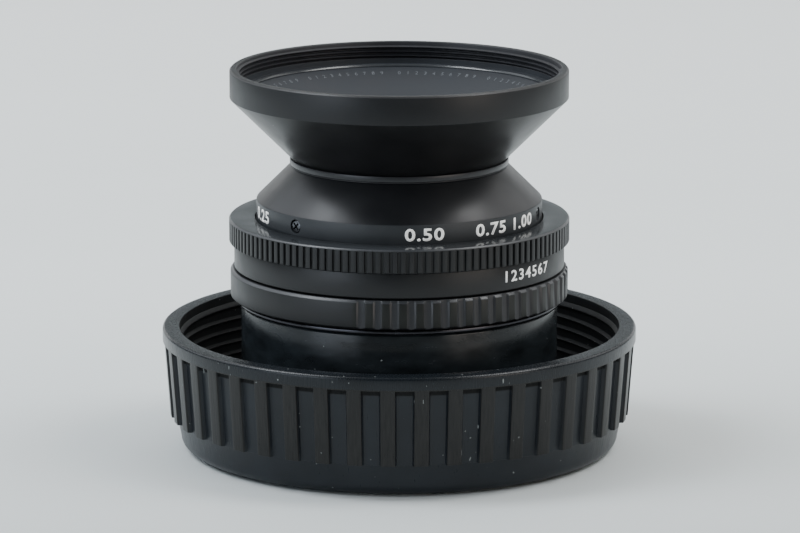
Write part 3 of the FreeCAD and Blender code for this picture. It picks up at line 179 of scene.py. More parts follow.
def sweep_wall(wall_angle, moves):
    """Sweeps the section through a side wall and moves corners, each a (radius, height, new radius)."""
    sweep(wall_angle, 1)
    mesh_data = bpy.context.object.data
    mesh = bmesh.from_edit_mesh(mesh_data)
    mesh.verts.index_update()
    section = [v.index for v in mesh.verts if v.select]
    for radius, height, new_radius in moves:
        mesh = bmesh.from_edit_mesh(mesh_data)
        mesh.verts.ensure_lookup_table()
        for index in section:
            v = mesh.verts[index]
            near_radius = abs(v.co.xy.length - radius * MM) < STEP_TOLERANCE
            v.select = near_radius and abs(v.co.z - height * MM) < STEP_TOLERANCE
        mesh.select_flush_mode()
        scale = new_radius / radius
        bpy.ops.transform.resize(value=(scale, scale, 1), center_override=ON_AXIS)
    mesh = bmesh.from_edit_mesh(mesh_data)
    mesh.verts.ensure_lookup_table()
    for index in section:
        mesh.verts[index].select = True
    mesh.select_flush(True)


def fluted(groove_corners, wall_angle, groove_angle, groove_steps, land_angle, land_steps):
    """One groove and one land from the selected section. A corner is (radius, height, groove radius)."""
    sweep_wall(wall_angle, groove_corners)
    sweep(groove_angle - wall_angle, groove_steps)
    sweep_wall(wall_angle, [(inner, height, outer) for outer, height, inner in groove_corners])
    sweep(land_angle - wall_angle, land_steps)


def copy_round(count, pitch):
    """Copies the selected wedge round the axis until there are count of them."""
    sweep(pitch * (count - 1), count - 1, copies=True)


# %% [markdown]
# ## Materials: one small helper
# Each finish is a few shader nodes. `add` makes a node, sets its properties and fills its sockets, either
# with a value or with another node's output; a node given whole stands for its first output. Colours are
# written as sRGB hex, the way a designer reads them off a chart, and turned to Blender's linear values by
# `colour`. A Mix node calls all its first inputs A and all its second ones B, so its colours go by number.

# %% Node and colour helpers
def colour(hex_code):
    """sRGB hex to linear RGBA."""
    parts = [int(hex_code[i:i + 2], 16) / 255 for i in (1, 3, 5)]
    return [c / 12.92 if c <= 0.04045 else ((c + 0.055) / 1.055) ** 2.4 for c in parts] + [1.0]


def add(tree, kind, sockets=None, **settings):
    """Adds a node, sets its properties, and fills its sockets with values or with other nodes' outputs."""
    new = tree.nodes.new(kind)
    for key, value in settings.items():
        setattr(new, key, value)
    for socket, value in (sockets or {}).items():
        if isinstance(value, bpy.types.Node):
            value = value.outputs[0]
        if isinstance(value, bpy.types.NodeSocket):
            tree.links.new(value, new.inputs[socket])
        else:
            new.inputs[socket].default_value = value
    return new


def new_finish(name):
    """An empty node tree in a new material."""
    material = bpy.data.materials.new(name)
    material.use_nodes = True
    material.node_tree.nodes.clear()
    return material, material.node_tree


MIX_FROM, MIX_TO, MIXED = 6, 7, 2    # a Mix node's two colours in, and its colour out
NOISE_SPAN = {"From Min": 0.3, "From Max": 0.7}    # Blender's noise seldom leaves these

# %% [markdown]
# ## Lathe lines, dust and clouds
# Three patterns are shared by many finishes. Lathe lines run round the axis, so their noise is read from the
# radius and the height alone, and is the same all the way round. Dust is a sparse scatter of specks from a
# Voronoi texture: each cell's own random colour says how big its speck is and whether it has one, a fine
# noise makes their outlines ragged, and a slow one gathers them in crowds. Clouds are a soft noise that
# shifts the tone and the gloss a little, as wear and finger marks do.

# %% Shared patterns
def place_on_object(tree):
    """A node with a point's own X, Y and Z on the object."""
    place = add(tree, "ShaderNodeTexCoord").outputs["Object"]
    return add(tree, "ShaderNodeSeparateXYZ", {0: place})


def radius_from_axis(tree, xyz):
    """A point's distance from the optical axis."""
    flat = add(tree, "ShaderNodeCombineXYZ", {"X": xyz.outputs["X"], "Y": xyz.outputs["Y"]})
    return add(tree, "ShaderNodeVectorMath", {0: flat}, operation="LENGTH").outputs["Value"]


def lathe_lines(tree, spacing):
    """Noise that depends only on radius and height: fine rings, spacing millimetres apart."""
    xyz = place_on_object(tree)
    section = add(tree, "ShaderNodeCombineXYZ", {"X": radius_from_axis(tree, xyz), "Y": xyz.outputs["Z"]})
    return add(tree, "ShaderNodeTexNoise", {"Vector": section, "Scale": 1 / (spacing * MM), "Detail": 2.0,
                                            "Roughness": 0.6}, noise_dimensions="2D")


def clouds(tree, size, detail=3.0, stretch=(1, 1, 1)):
    """Soft noise with patches about size millimetres across."""
    place = add(tree, "ShaderNodeTexCoord").outputs["Object"]
    scaled = add(tree, "ShaderNodeMapping", {"Vector": place, "Scale": stretch})
    return add(tree, "ShaderNodeTexNoise", {"Vector": scaled, "Scale": 1 / (size * MM), "Detail": detail,
                                            "Roughness": 0.55})


def cloudy_tone(tree, cloud, shade, worn_shade):
    """Two shades of one finish, mixed as a cloud pattern goes."""
    wear = add(tree, "ShaderNodeMapRange", {"Value": cloud, **NOISE_SPAN})
    tone = add(tree, "ShaderNodeMix", {0: wear, MIX_FROM: colour(shade), MIX_TO: colour(worn_shade)},
               data_type="RGBA")
    return tone.outputs[MIXED]


DUST_CROWD = 14.0    # patches with more dust and with less are about this wide in mm


def dust(tree, cell, speck, share, stretch=(1, 1, 1)):
    """1 on specks of dust and 0 between. A share of the cells has one; sizes are in millimetres."""
    place = add(tree, "ShaderNodeTexCoord").outputs["Object"]
    scaled = add(tree, "ShaderNodeMapping", {"Vector": place, "Scale": stretch})
    ragged = add(tree, "ShaderNodeTexNoise", {"Vector": scaled, "Scale": 1 / (speck * MM)})
    pushed = add(tree, "ShaderNodeVectorMath", {0: ragged.outputs["Color"], 1: [speck * MM] * 3, 2: scaled},
                 operation="MULTIPLY_ADD")
    cells = add(tree, "ShaderNodeTexVoronoi", {"Vector": pushed, "Scale": 1 / (cell * MM)})
    chance = add(tree, "ShaderNodeSeparateColor", {0: cells.outputs["Color"]})
    size = add(tree, "ShaderNodeMath", {0: chance.outputs[1], 1: speck / cell / 2}, operation="MULTIPLY")
    small = add(tree, "ShaderNodeMath", {0: cells.outputs["Distance"], 1: size}, operation="LESS_THAN")
    crowd = add(tree, "ShaderNodeMapRange", {"Value": clouds(tree, DUST_CROWD), **NOISE_SPAN,
                                             "To Min": 0.0, "To Max": 2.0 * share})
    kept = add(tree, "ShaderNodeMath", {0: chance.outputs[0], 1: crowd}, operation="LESS_THAN")
    return add(tree, "ShaderNodeMath", {0: small, 1: kept}, operation="MULTIPLY")


# %% [markdown]
# ## Black anodised aluminium
# The barrel, rings and front cone are turned from aluminium alloy and then anodised and dyed black. The
# oxide layer is a thin hard glassy film full of dye, so it shades like a dark plastic with a satin gloss
# rather than like bare metal. Its look comes from how finely each surface was turned: the cone is the finest
# and darkest, the knurled rings are coarser and greyer.

# %% Anodised finishes
TURNING_FEED = 0.16    # real tool marks are about 0.05 mm apart, too fine to show here
MARK_DEPTH = 0.004


def anodised(name, shade, worn_shade, roughness, mark_strength, dust_share):
    """Dyed anodising on a turned surface."""
    material, tree = new_finish(name)
    lines = lathe_lines(tree, TURNING_FEED)
    cloud = clouds(tree, size=6.0)
    specks = dust(tree, cell=1.6, speck=0.16, share=dust_share)
    dusty = add(tree, "ShaderNodeMix", {0: specks, MIX_FROM: cloudy_tone(tree, cloud, shade, worn_shade),
                                        MIX_TO: colour("#8f9290")}, data_type="RGBA")
    gloss = add(tree, "ShaderNodeMapRange", {"Value": cloud, **NOISE_SPAN, "To Min": roughness - 0.04,
                                             "To Max": roughness + 0.05})
    marks = add(tree, "ShaderNodeBump", {"Height": lines, "Distance": MARK_DEPTH * MM,
                                         "Strength": mark_strength})
    surface = add(tree, "ShaderNodeBsdfPrincipled", {
        "Base Color": dusty.outputs[MIXED], "Roughness": gloss, "Specular IOR Level": 0.38, "Normal": marks})
    add(tree, "ShaderNodeOutputMaterial", {"Surface": surface})
    return material


# each has its colour, its colour where worn, its roughness, the strength of its marks and its share of dust
CONE_BLACK = anodised("fine_turned_black_anodised_aluminium", "#131314", "#171718", 0.32, 0.25, 0.006)
RIM_BLACK = anodised("satin_black_anodised_aluminium", "#161719", "#1a1b1d", 0.42, 0.5, 0.004)
RING_BLACK = anodised("turned_black_anodised_aluminium", "#18191b", "#1e1f20", 0.40, 0.6, 0.01)
# The flutes are given a lighter grey than the lands.
FLUTE_GREY = anodised("lighter_grey_flute_anodised_aluminium", "#2c2d30", "#343538", 0.36, 0.3, 0.01)
LAND_BLACK = anodised("thumbed_black_anodised_aluminium", "#151715", "#1c1e1b", 0.42, 0.4, 0.02)
# The edge finish is partly rubbed wear and partly a painted highlight, for chamfers that face up.
EDGE_WEAR_AND_HIGHLIGHT = anodised("rubbed_and_highlit_edge_of_anodised_aluminium", "#303235", "#3c3e41", 0.34, 0.3, 0.0)
BAND_GREY = anodised("turned_grey_anodised_aluminium", "#303336", "#383b3e", 0.40, 0.4, 0.006)
SKIRT_BLACK = anodised("smooth_black_anodised_aluminium", "#16171a", "#1b1c1f", 0.36, 0.3, 0.006)
POLISHED_BLACK = anodised("polished_black_anodised_aluminium", "#303336", "#373a3d", 0.20, 0.12, 0.006)
NECK_GREY = anodised("grey_black_anodised_aluminium", "#26272a", "#2b2c2f", 0.34, 0.4, 0.004)
SLATE = anodised("matt_slate_anodised_aluminium", "#1d2127", "#22272d", 0.60, 0.5, 0.01)
MOUTH_BLACK = anodised("matt_black_anodised_aluminium", "#1c1d21", "#222328", 0.50, 0.5, 0.01)

# %% [markdown]
# ## Moulded plastics
# The keeper is two mouldings. The tray is a charcoal ABS with a fine spark-eroded texture, scuffed by years
# of being gripped: its ribs are rubbed a little browner than the grooves between them, and its rim is polished
# by the hand. A painted shadow, a near-black strip, lies at the top of each groove under the rim's overhang,
# and the matt inside is painted lighter, as painted light in its shade. The post is the same resin moulded
# against polished steel, so it is glossy and shows every finger mark and hairline.

# %% Plastic finishes
RIM_OUT, RIM_IN = 40.5, 37.6
RIB_FACE = (39.3, 5.8)     # radius and height where a rib starts, in mm
RIB_DRAFT = 0.0736         # how much the ribs lean out per mm of height
RIB_DEPTH = 0.7
RUBBED_TO = 18.9           # fingers rub the ribs up to this height in mm
PAINTED_SHADOW_BAND = (17.7, 18.75)      # a painted shadow of the rim lies at the top of each groove, between these heights in mm
PAINTED_SHADOW_FADE = 0.15          # and the painted shadow fades in over this height in mm
SCUFF_WIDTH = 0.3          # rub marks on the ribs; real ones are finer, too fine to show here
SPARK_GRAIN = 0.22         # real spark-eroded grain is about 0.05 mm wide, too fine to show here
SCUFF_DEPTH, GRAIN_DEPTH, HAIRLINE_DEPTH = 0.04, 0.012, 0.003
ABS_IOR = 1.53


def ribs_and_painted_shadow(tree):
    """Two masks: 1 on the faces of the tray's ribs, and 1 on the painted shadow at the top of each groove."""
    xyz = place_on_object(tree)
    radius = radius_from_axis(tree, xyz)
    lean = add(tree, "ShaderNodeMath", {0: xyz.outputs["Z"], 1: -RIB_DRAFT}, operation="MULTIPLY")
    level = add(tree, "ShaderNodeMath", {0: radius, 1: lean}, operation="ADD")
    face = (RIB_FACE[0] - RIB_DRAFT * RIB_FACE[1]) * MM
    mask = add(tree, "ShaderNodeMapRange", {"Value": level, "From Min": face - 0.5 * RIB_DEPTH * MM,
                                            "From Max": face - 0.1 * RIB_DEPTH * MM})
    under_rim = add(tree, "ShaderNodeMath", {0: xyz.outputs["Z"], 1: RUBBED_TO * MM}, operation="LESS_THAN")
    ribs = add(tree, "ShaderNodeMath", {0: mask, 1: under_rim}, operation="MULTIPLY")
    corner = add(tree, "ShaderNodeMapRange", {"Value": xyz.outputs["Z"], "From Min": PAINTED_SHADOW_BAND[0] * MM,
                                              "From Max": (PAINTED_SHADOW_BAND[0] + PAINTED_SHADOW_FADE) * MM})
    under = add(tree, "ShaderNodeMath", {0: xyz.outputs["Z"], 1: PAINTED_SHADOW_BAND[1] * MM}, operation="LESS_THAN")
    strip = add(tree, "ShaderNodeMath", {0: corner, 1: under}, operation="MULTIPLY")
    groove = add(tree, "ShaderNodeMath", {0: 1.0, 1: ribs}, operation="SUBTRACT")
    outside = add(tree, "ShaderNodeMath", {0: radius, 1: (RIM_IN + RIM_OUT) / 2 * MM},
                  operation="GREATER_THAN")
    grooves = add(tree, "ShaderNodeMath", {0: groove, 1: outside}, operation="MULTIPLY")
    return ribs, add(tree, "ShaderNodeMath", {0: strip, 1: grooves}, operation="MULTIPLY")


def charcoal_abs(name, shade, worn_shade, smooth, rough):
    """Textured ABS: rubbed ribs, upright scuffs, dust, a painted shadow; roughness runs from smooth to rough.
    """
    material, tree = new_finish(name)
    ribs, painted_shadow = ribs_and_painted_shadow(tree)
    scuffs = clouds(tree, SCUFF_WIDTH, detail=4.0, stretch=(1, 1, 0.05))
    grain = clouds(tree, SPARK_GRAIN, detail=2.0)
    patches = clouds(tree, size=9.0)
    unshaded = add(tree, "ShaderNodeMix", {0: ribs, MIX_FROM: cloudy_tone(tree, patches, shade, worn_shade),
                                        MIX_TO: cloudy_tone(tree, scuffs, "#090909", "#1f1e1d")},
                data_type="RGBA")
    # The painted shadow: a near-black strip where the rim's overhang shades the top of each groove.
    shadowed = add(tree, "ShaderNodeMix", {0: painted_shadow, MIX_FROM: unshaded.outputs[MIXED],
                                        MIX_TO: colour("#020303")}, data_type="RGBA")
    specks = dust(tree, cell=0.9, speck=0.3, share=0.10)
    hairs = dust(tree, cell=1.3, speck=0.34, share=0.28, stretch=(1, 1, 0.28))
    marks = add(tree, "ShaderNodeMath", {0: specks, 1: hairs}, operation="MAXIMUM")
    dusty = add(tree, "ShaderNodeMix", {0: marks, MIX_FROM: shadowed.outputs[MIXED],
                                        MIX_TO: colour("#7d8180")}, data_type="RGBA")
    dulled_in_shadow = add(tree, "ShaderNodeMath", {0: painted_shadow, 1: 0.45}, operation="MULTIPLY")
    worn = add(tree, "ShaderNodeMapRange", {"Value": scuffs, **NOISE_SPAN, "To Min": smooth, "To Max": rough})
    gloss = add(tree, "ShaderNodeMath", {0: worn, 1: dulled_in_shadow}, operation="ADD")
    scuffed = add(tree, "ShaderNodeMapRange", {"Value": ribs, "To Min": 0.12, "To Max": 0.6})
    texture = add(tree, "ShaderNodeBump", {"Height": grain, "Distance": GRAIN_DEPTH * MM, "Strength": 0.5})
    relief = add(tree, "ShaderNodeBump", {"Height": scuffs, "Distance": SCUFF_DEPTH * MM,
                                          "Strength": scuffed, "Normal": texture})
    surface = add(tree, "ShaderNodeBsdfPrincipled", {
        "Base Color": dusty.outputs[MIXED], "Roughness": gloss, "IOR": ABS_IOR, "Specular IOR Level": 0.29,
        "Normal": relief})
    add(tree, "ShaderNodeOutputMaterial", {"Surface": surface})
    return material


def gloss_black_abs():
    """ABS moulded against polished steel, with finger marks and hairlines."""
    material, tree = new_finish("gloss_moulded_black_abs")
    marks = clouds(tree, size=4.0, detail=5.0, stretch=(0.6, 0.6, 1.3))
    hairlines = clouds(tree, size=0.5, stretch=(0.15, 1, 1))
    specks = dust(tree, cell=1.4, speck=0.28, share=0.08)
    dusty = add(tree, "ShaderNodeMix", {0: specks, MIX_FROM: cloudy_tone(tree, marks, "#15181a", "#262c30"),
                                        MIX_TO: colour("#9aa0a0")}, data_type="RGBA")
    gloss = add(tree, "ShaderNodeMapRange", {"Value": marks, **NOISE_SPAN, "To Min": 0.14, "To Max": 0.30})
    relief = add(tree, "ShaderNodeBump", {"Height": hairlines, "Distance": HAIRLINE_DEPTH * MM,
                                          "Strength": 0.3})
    surface = add(tree, "ShaderNodeBsdfPrincipled", {
        "Base Color": dusty.outputs[MIXED], "Roughness": gloss, "IOR": ABS_IOR, "Specular IOR Level": 0.42,
        "Normal": relief})
    add(tree, "ShaderNodeOutputMaterial", {"Surface": surface})
    return material


CHARCOAL_ABS = charcoal_abs("moulded_charcoal_abs", "#11151a", "#191e24", smooth=0.27, rough=0.40)
RIM_ABS = charcoal_abs("hand_polished_charcoal_abs", "#0f1317", "#171c21", smooth=0.22, rough=0.33)
# The inside is matt, and painted lighter than the outside: painted light where it lies in shade.
INSIDE_ABS_PAINTED_LIGHTER = charcoal_abs("matt_charcoal_abs_painted_lighter", "#232628", "#2c2f31", smooth=0.50, rough=0.60)
GLOSS_ABS = gloss_black_abs()

# %% [markdown]
# ## Small finishes
# White enamel fills the engraved figures. It is given a painted glow, a little emission that makes it whiter
# than the lamps alone would. The mount is turned brass under dark chrome, a true metal, so it keeps the
# metallic shader and a grey reflectance.
# Screws are chemically blackened steel, the springs and the click ball are bright steel, and the iris blades
# are spring steel with a matt black lacquer. The lenses are optical glass with a faint violet coating.

# %% Enamel, metals and glass
def plain_finish(name, shade, worn_shade, roughness, metallic=0.0, mark_strength=0.3, painted_glow=0.0):
    """A turned or rolled surface with a slightly uneven tone. painted_glow is emission that paints a glow."""
    material, tree = new_finish(name)
    lines = lathe_lines(tree, TURNING_FEED)
    cloud = clouds(tree, size=3.0)
    gloss = add(tree, "ShaderNodeMapRange", {"Value": cloud, **NOISE_SPAN, "To Min": roughness - 0.04,
                                             "To Max": roughness + 0.04})
    marks = add(tree, "ShaderNodeBump", {"Height": lines, "Distance": MARK_DEPTH * MM,
                                         "Strength": mark_strength})
    surface = add(tree, "ShaderNodeBsdfPrincipled", {
        "Base Color": cloudy_tone(tree, cloud, shade, worn_shade), "Metallic": metallic, "Roughness": gloss,
        "Normal": marks, "Emission Color": colour(worn_shade), "Emission Strength": painted_glow})
    add(tree, "ShaderNodeOutputMaterial", {"Surface": surface})
    return material


def lens_glass():
    """Clear glass; the thin coating tints what it reflects violet."""
    material, tree = new_finish("coated_optical_glass")
    gloss = add(tree, "ShaderNodeMapRange", {"Value": clouds(tree, size=12.0), **NOISE_SPAN,
                                             "To Max": 0.02})
    surface = add(tree, "ShaderNodeBsdfPrincipled", {
        "Base Color": colour("#f2f5fb"), "Roughness": gloss, "Transmission Weight": 1.0, "IOR": 1.62,
        "Specular Tint": colour("#b6a4e6")})
    add(tree, "ShaderNodeOutputMaterial", {"Surface": surface})
    return material


# The white enamel carries a painted glow.
ENAMEL = plain_finish("white_enamel_fill", "#f4f6f3", "#fafbf9", 0.5, mark_strength=0.1, painted_glow=0.35)
GREY_ENAMEL = plain_finish("grey_enamel_fill", "#4a4f54", "#5b6065", 0.5, mark_strength=0.1)
DARK_CHROME = plain_finish("dark_chromed_turned_brass", "#3a3a3d", "#45454a", 0.24, metallic=1.0)
BLACK_STEEL = plain_finish("blackened_steel", "#55575b", "#6a6c70", 0.22, metallic=1.0)
BRIGHT_STEEL = plain_finish("bright_spring_steel", "#a6a8ab", "#b6b8bb", 0.28, metallic=1.0)
BLADE_LACQUER = plain_finish("lacquered_blade_steel", "#131314", "#19191a", 0.48, metallic=0.2)
COATED_GLASS = lens_glass()

# %% [markdown]
# ## Giving a piece its finishes
# Most pieces have one finish. Where a turned part is finer on one face than on another, the faces are picked
# by their place and given a second slot, as one would in edit mode. `place_on_body` then ties the piece to
# its moving body and hides the CAD node that it stands for.

# %% Assign, ride and replace
def paint(piece, material):
    """One finish all over."""
    piece.data.materials.clear()
    piece.data.materials.append(material)


def paint_faces(piece, material, is_there):
    """A second finish on faces that pass the test of centre (radius, height in mm), normal and azimuth."""
    piece.data.materials.append(material)
    slot = len(piece.data.materials) - 1
    painted = 0
    for face in piece.data.polygons:
        azimuth = math.degrees(math.atan2(face.center.y, face.center.x))
        if is_there(face.center.xy.length / MM, face.center.z / MM, face.normal, azimuth):
            face.material_index = slot
            painted += 1
    print(f"{piece.name}: {painted} faces in {material.name}")


def place_on_body(piece, body, slot, *nodes):
    """The piece rides on its body and stands for its CAD nodes; slot is not used."""
    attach(piece, body)
    if nodes:
        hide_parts(*nodes)
    print(f"{piece.name}: {len(piece.data.polygons)} faces on {body}")


# %% [markdown]
# ## The keeper tray
# The tray is a moulding, so its corners are round and its walls lean outwards a little (the draft that lets
# it leave the mould). The ribs are made with the groove-and-land wedge, 45 times round.

# %% Keeper tray
RIBS = 45
RIB_PITCH = FULL_TURN / RIBS
GROOVE_ANGLE, RIB_WALL = 4.2, 0.35
FIRST_GROOVE = -88.7
TRAY_TOP = height_of("keeper_tray")
RIM_BOTTOM = TRAY_TOP - 2.3
PLINTH_TOP = 5.8
PLINTH_TOP_RADIUS = 38.2
PLINTH_FOOT_RADIUS = 37.5
FOOT_IN, FOOT_OUT, FOOT_HIGH = 33.2, 34.8, 0.3    # the narrow ring that the tray stands on
FOOT_BREAK = 0.15
RECESS, FLOOR_TOP = 1.4, 3.0
BASE_IN, BASE_HIGH, WALL_FOOT, FLOOR_CORNER = 36.0, 6.2, 7.6, 0.6    # the inside steps in above the floor
RIB_TOP = (40.25, RIM_BOTTOM)
FOOT_ROUND, RIM_ROUND, MOUTH_ROUND = 1.9, 0.5, 0.12


def keeper_tray():
    """The moulding: one groove and one rib of its section, copied all the way round."""
    outline = [
        (0.0, RECESS), (FOOT_IN, RECESS), (FOOT_IN, FOOT_BREAK), (FOOT_IN + FOOT_BREAK, 0.0),
        (FOOT_OUT, 0.0), (FOOT_OUT, FOOT_HIGH),
        *arc(PLINTH_FOOT_RADIUS - FOOT_ROUND, FOOT_HIGH + FOOT_ROUND, FOOT_ROUND, -90, 0, 6),
        (PLINTH_TOP_RADIUS, PLINTH_TOP), RIB_FACE, RIB_TOP, (RIM_OUT, RIM_BOTTOM),
        *arc(RIM_OUT - RIM_ROUND, TRAY_TOP - RIM_ROUND, RIM_ROUND, 0, 90, 6),
        *arc(RIM_IN + MOUTH_ROUND, TRAY_TOP - MOUTH_ROUND, MOUTH_ROUND, 90, 180, 4),
        (RIM_IN, WALL_FOOT), (BASE_IN, BASE_HIGH), (BASE_IN, FLOOR_TOP + FLOOR_CORNER),
        (BASE_IN - FLOOR_CORNER, FLOOR_TOP), (0.0, FLOOR_TOP),
    ]
    tray = draw_outline("keeper_tray_moulding", outline, closed=False)
    bpy.ops.mesh.select_all(action="SELECT")
    grooves = [(RIB_FACE[0], RIB_FACE[1], RIB_FACE[0] - RIB_DEPTH),
               (RIB_TOP[0], RIB_TOP[1], RIB_TOP[0] - RIB_DEPTH)]
    fluted(grooves, RIB_WALL, GROOVE_ANGLE, 4, RIB_PITCH - GROOVE_ANGLE, 4)
    bpy.ops.mesh.select_all(action="SELECT")
    copy_round(RIBS, RIB_PITCH)
    turn_piece(FIRST_GROOVE - (GROOVE_ANGLE + RIB_WALL) / 2)
    weld_and_face_out()
    return soften(tray, width=0.1)


tray = keeper_tray()

# %% [markdown]
# ## The dome's thread inside the tray
# A clear dome screws into the tray on a coarse thread, up to a sloping shoulder. The thread has three
# starts, so that the dome goes on with a short twist: three ridges climb side by side, and each climbs three
# pitches a turn. A helix is what the Screw modifier is for: it sweeps the ridge's section round the axis
# while it climbs. The ends are closed, and the ridges are sunk a little into the wall so that all of it
# reads as one moulding.

# %% Helical ridges
STEPS_A_TURN = 144


def ridge_section(level, corners):
    """A ridge's section about a level, from the (radius, half height) of its corners, root first."""
    return [(r, level + half) for r, half in corners] + [(r, level - half) for r, half in reversed(corners)]


def helical_ridge(name, outline, lead, turns):
    """A ridge on a helix, from its section at the bottom end. It climbs lead millimetres in a whole turn."""
    piece = draw_outline(name, outline)
    bpy.ops.object.mode_set(mode="OBJECT")
    screw = piece.modifiers.new("helix", "SCREW")
    screw.axis = "Z"
    screw.angle = 2 * math.pi * turns
    screw.screw_offset = lead * turns * MM
    screw.steps = screw.render_steps = round(STEPS_A_TURN * turns)
    bpy.ops.object.modifier_apply(modifier=screw.name)
    bpy.ops.object.mode_set(mode="EDIT")
    bpy.ops.mesh.select_all(action="SELECT")
    bpy.ops.mesh.fill_holes(sides=len(outline))
    weld_and_face_out()
    return soften(piece, width=0)


def join(piece, *others):
    """Joins other meshes into the first one."""
    deselect_all()
    for other in (piece, *others):
        other.select_set(True)
    bpy.context.view_layer.objects.active = piece
    bpy.ops.object.join()
    return piece


# %% The dome's thread
SUNK = 0.2    # ridges reach this far into the wall
DOME_STARTS, DOME_PITCH, DOME_TURNS = 3, 2.05, 1.2
DOME_LEAD = DOME_STARTS * DOME_PITCH
DOME_CREST = RIM_IN - 0.65
RIDGE_LOW = 9.9
dome_ridge = ridge_section(RIDGE_LOW, [(RIM_IN + SUNK, 0.6), (RIM_IN, 0.4), (DOME_CREST + 0.1, 0.14),
                                       (DOME_CREST, 0.05)])
dome_ridges = []
for start in range(DOME_STARTS):
    ridge = helical_ridge(f"dome_thread_ridge_{start + 1}", dome_ridge, DOME_LEAD, DOME_TURNS)
    bpy.ops.object.mode_set(mode="EDIT")
    turn_piece(FULL_TURN / DOME_STARTS * start)
    bpy.ops.object.mode_set(mode="OBJECT")
    dome_ridges.append(ridge)

SHOULDER_HIGH, SHOULDER_LOW = 19.45, 18.15
SHOULDER_ROOT, SHOULDER_CREST = RIM_IN - 0.05, RIM_IN - 0.5
CREST_HIGH, CREST_LOW = 18.8, 18.65
dome_shoulder = turned("dome_stop_shoulder", [
    (RIM_IN + SUNK, SHOULDER_HIGH + 0.1), (SHOULDER_ROOT, SHOULDER_HIGH), (SHOULDER_CREST, CREST_HIGH),
    (SHOULDER_CREST, CREST_LOW), (SHOULDER_ROOT, SHOULDER_LOW), (RIM_IN + SUNK, SHOULDER_LOW),
], edge=0.05)
join(tray, *dome_ridges, dome_shoulder)
MOUTH_EDGE = RIM_IN + MOUTH_ROUND
paint(tray, CHARCOAL_ABS)
paint_faces(tray, RIM_ABS, lambda r, z, normal, azimuth: z > RIM_BOTTOM + 0.05 and r > MOUTH_EDGE)
# Painted light: the inside of the tray gets the lighter colour.
paint_faces(tray, INSIDE_ABS_PAINTED_LIGHTER, lambda r, z, normal, azimuth: z > FLOOR_TOP - 0.1 and r < MOUTH_EDGE)
place_on_body(tray, "keeper_base", "charcoal_plastic", "keeper_tray")

# %% [markdown]
# ## The post and the mount
# The lens stands on a bayonet post. Both are plain turned shapes with interrupted lugs inside. The lugs are
# short arcs of their own section, spun through 50 degrees and copied three times.

# %% Bayonet post
SOCKET_OUT = radius_of("keeper_socket")
SOCKET_TOP = height_of("keeper_socket")
SOCKET_BORE = 24.1
SOCKET_FLOOR = 6.0
SOCKET_CHAMFER = 0.45
POST_LUG_IN, POST_LUG_LOW, POST_LUG_HIGH = 22.6, 22.8, 24.0
POST_LUG_OUT = SOCKET_BORE + 0.3    # sunk a little into the bore's wall
NEAR_AXIS = 0.001                   # the welder closes so small a hole
LUGS, LUG_ANGLE, LUG_STEPS = 3, 50.0, 30


def lugs(name, corners, edge):
    """Three short arcs of one section, from its corners."""
    piece = draw_outline(name, corners)
    bpy.ops.mesh.select_all(action="SELECT")
    sweep(LUG_ANGLE, LUG_STEPS)
    bpy.ops.mesh.select_all(action="SELECT")
    bpy.ops.mesh.fill_holes(sides=len(corners))
    bpy.ops.mesh.select_all(action="SELECT")
    copy_round(LUGS, FULL_TURN / LUGS)
    turn_piece(-LUG_ANGLE / 2)
    weld_and_face_out()
    return soften(piece, edge)


post = turned("keeper_post", [
    (NEAR_AXIS, FLOOR_TOP), (SOCKET_OUT, FLOOR_TOP), (SOCKET_OUT, SOCKET_TOP - SOCKET_CHAMFER),
    (SOCKET_OUT - SOCKET_CHAMFER, SOCKET_TOP), (SOCKET_BORE, SOCKET_TOP), (SOCKET_BORE, SOCKET_FLOOR),
    (NEAR_AXIS, SOCKET_FLOOR),
], edge=0.08)
post_lugs = lugs("post_lugs", [(POST_LUG_IN, POST_LUG_LOW), (POST_LUG_OUT, POST_LUG_LOW),
                               (POST_LUG_OUT, POST_LUG_HIGH), (POST_LUG_IN, POST_LUG_HIGH)], edge=0.1)
join(post, post_lugs)
paint(post, GLOSS_ABS)
place_on_body(post, "keeper_base", "black_gloss_plastic", "keeper_socket")

# %% Bayonet mount
FLANGE_OUT = radius_of("bayonet_mount")
FLANGE_TOP = height_of("bayonet_mount")
MOUNT_BOTTOM = height_of("bayonet_mount", top=False)
MOUNT_BORE, MOUNT_TUBE = 20.5, 22.4
MOUNT_LUG_IN, MOUNT_LUG_OUT, MOUNT_LUG_TOP = 22.0, 23.9, MOUNT_BOTTOM + 1.5
mount = turned("lens_mount", [
    (MOUNT_BORE, MOUNT_BOTTOM), (MOUNT_TUBE, MOUNT_BOTTOM), (MOUNT_TUBE, SOCKET_TOP),
    (FLANGE_OUT, SOCKET_TOP), (FLANGE_OUT, FLANGE_TOP), (MOUNT_BORE, FLANGE_TOP),
], edge=0.07)
mount_lugs = lugs("mount_lugs", [(MOUNT_LUG_IN, MOUNT_BOTTOM), (MOUNT_LUG_OUT, MOUNT_BOTTOM),
                                 (MOUNT_LUG_OUT, MOUNT_LUG_TOP), (MOUNT_LUG_IN, MOUNT_LUG_TOP)], edge=0.1)
join(mount, mount_lugs)
paint(mount, DARK_CHROME)
place_on_body(mount, "lens_body", "dark_chrome_brass", "bayonet_mount")

# %% [markdown]
# ## The aperture ring
# Thirty-three wide flutes give the thumb a grip on a little over half of the ring. The rest is plain and
# carries the f-numbers. The plain part is swept first; the flutes start from its first section.

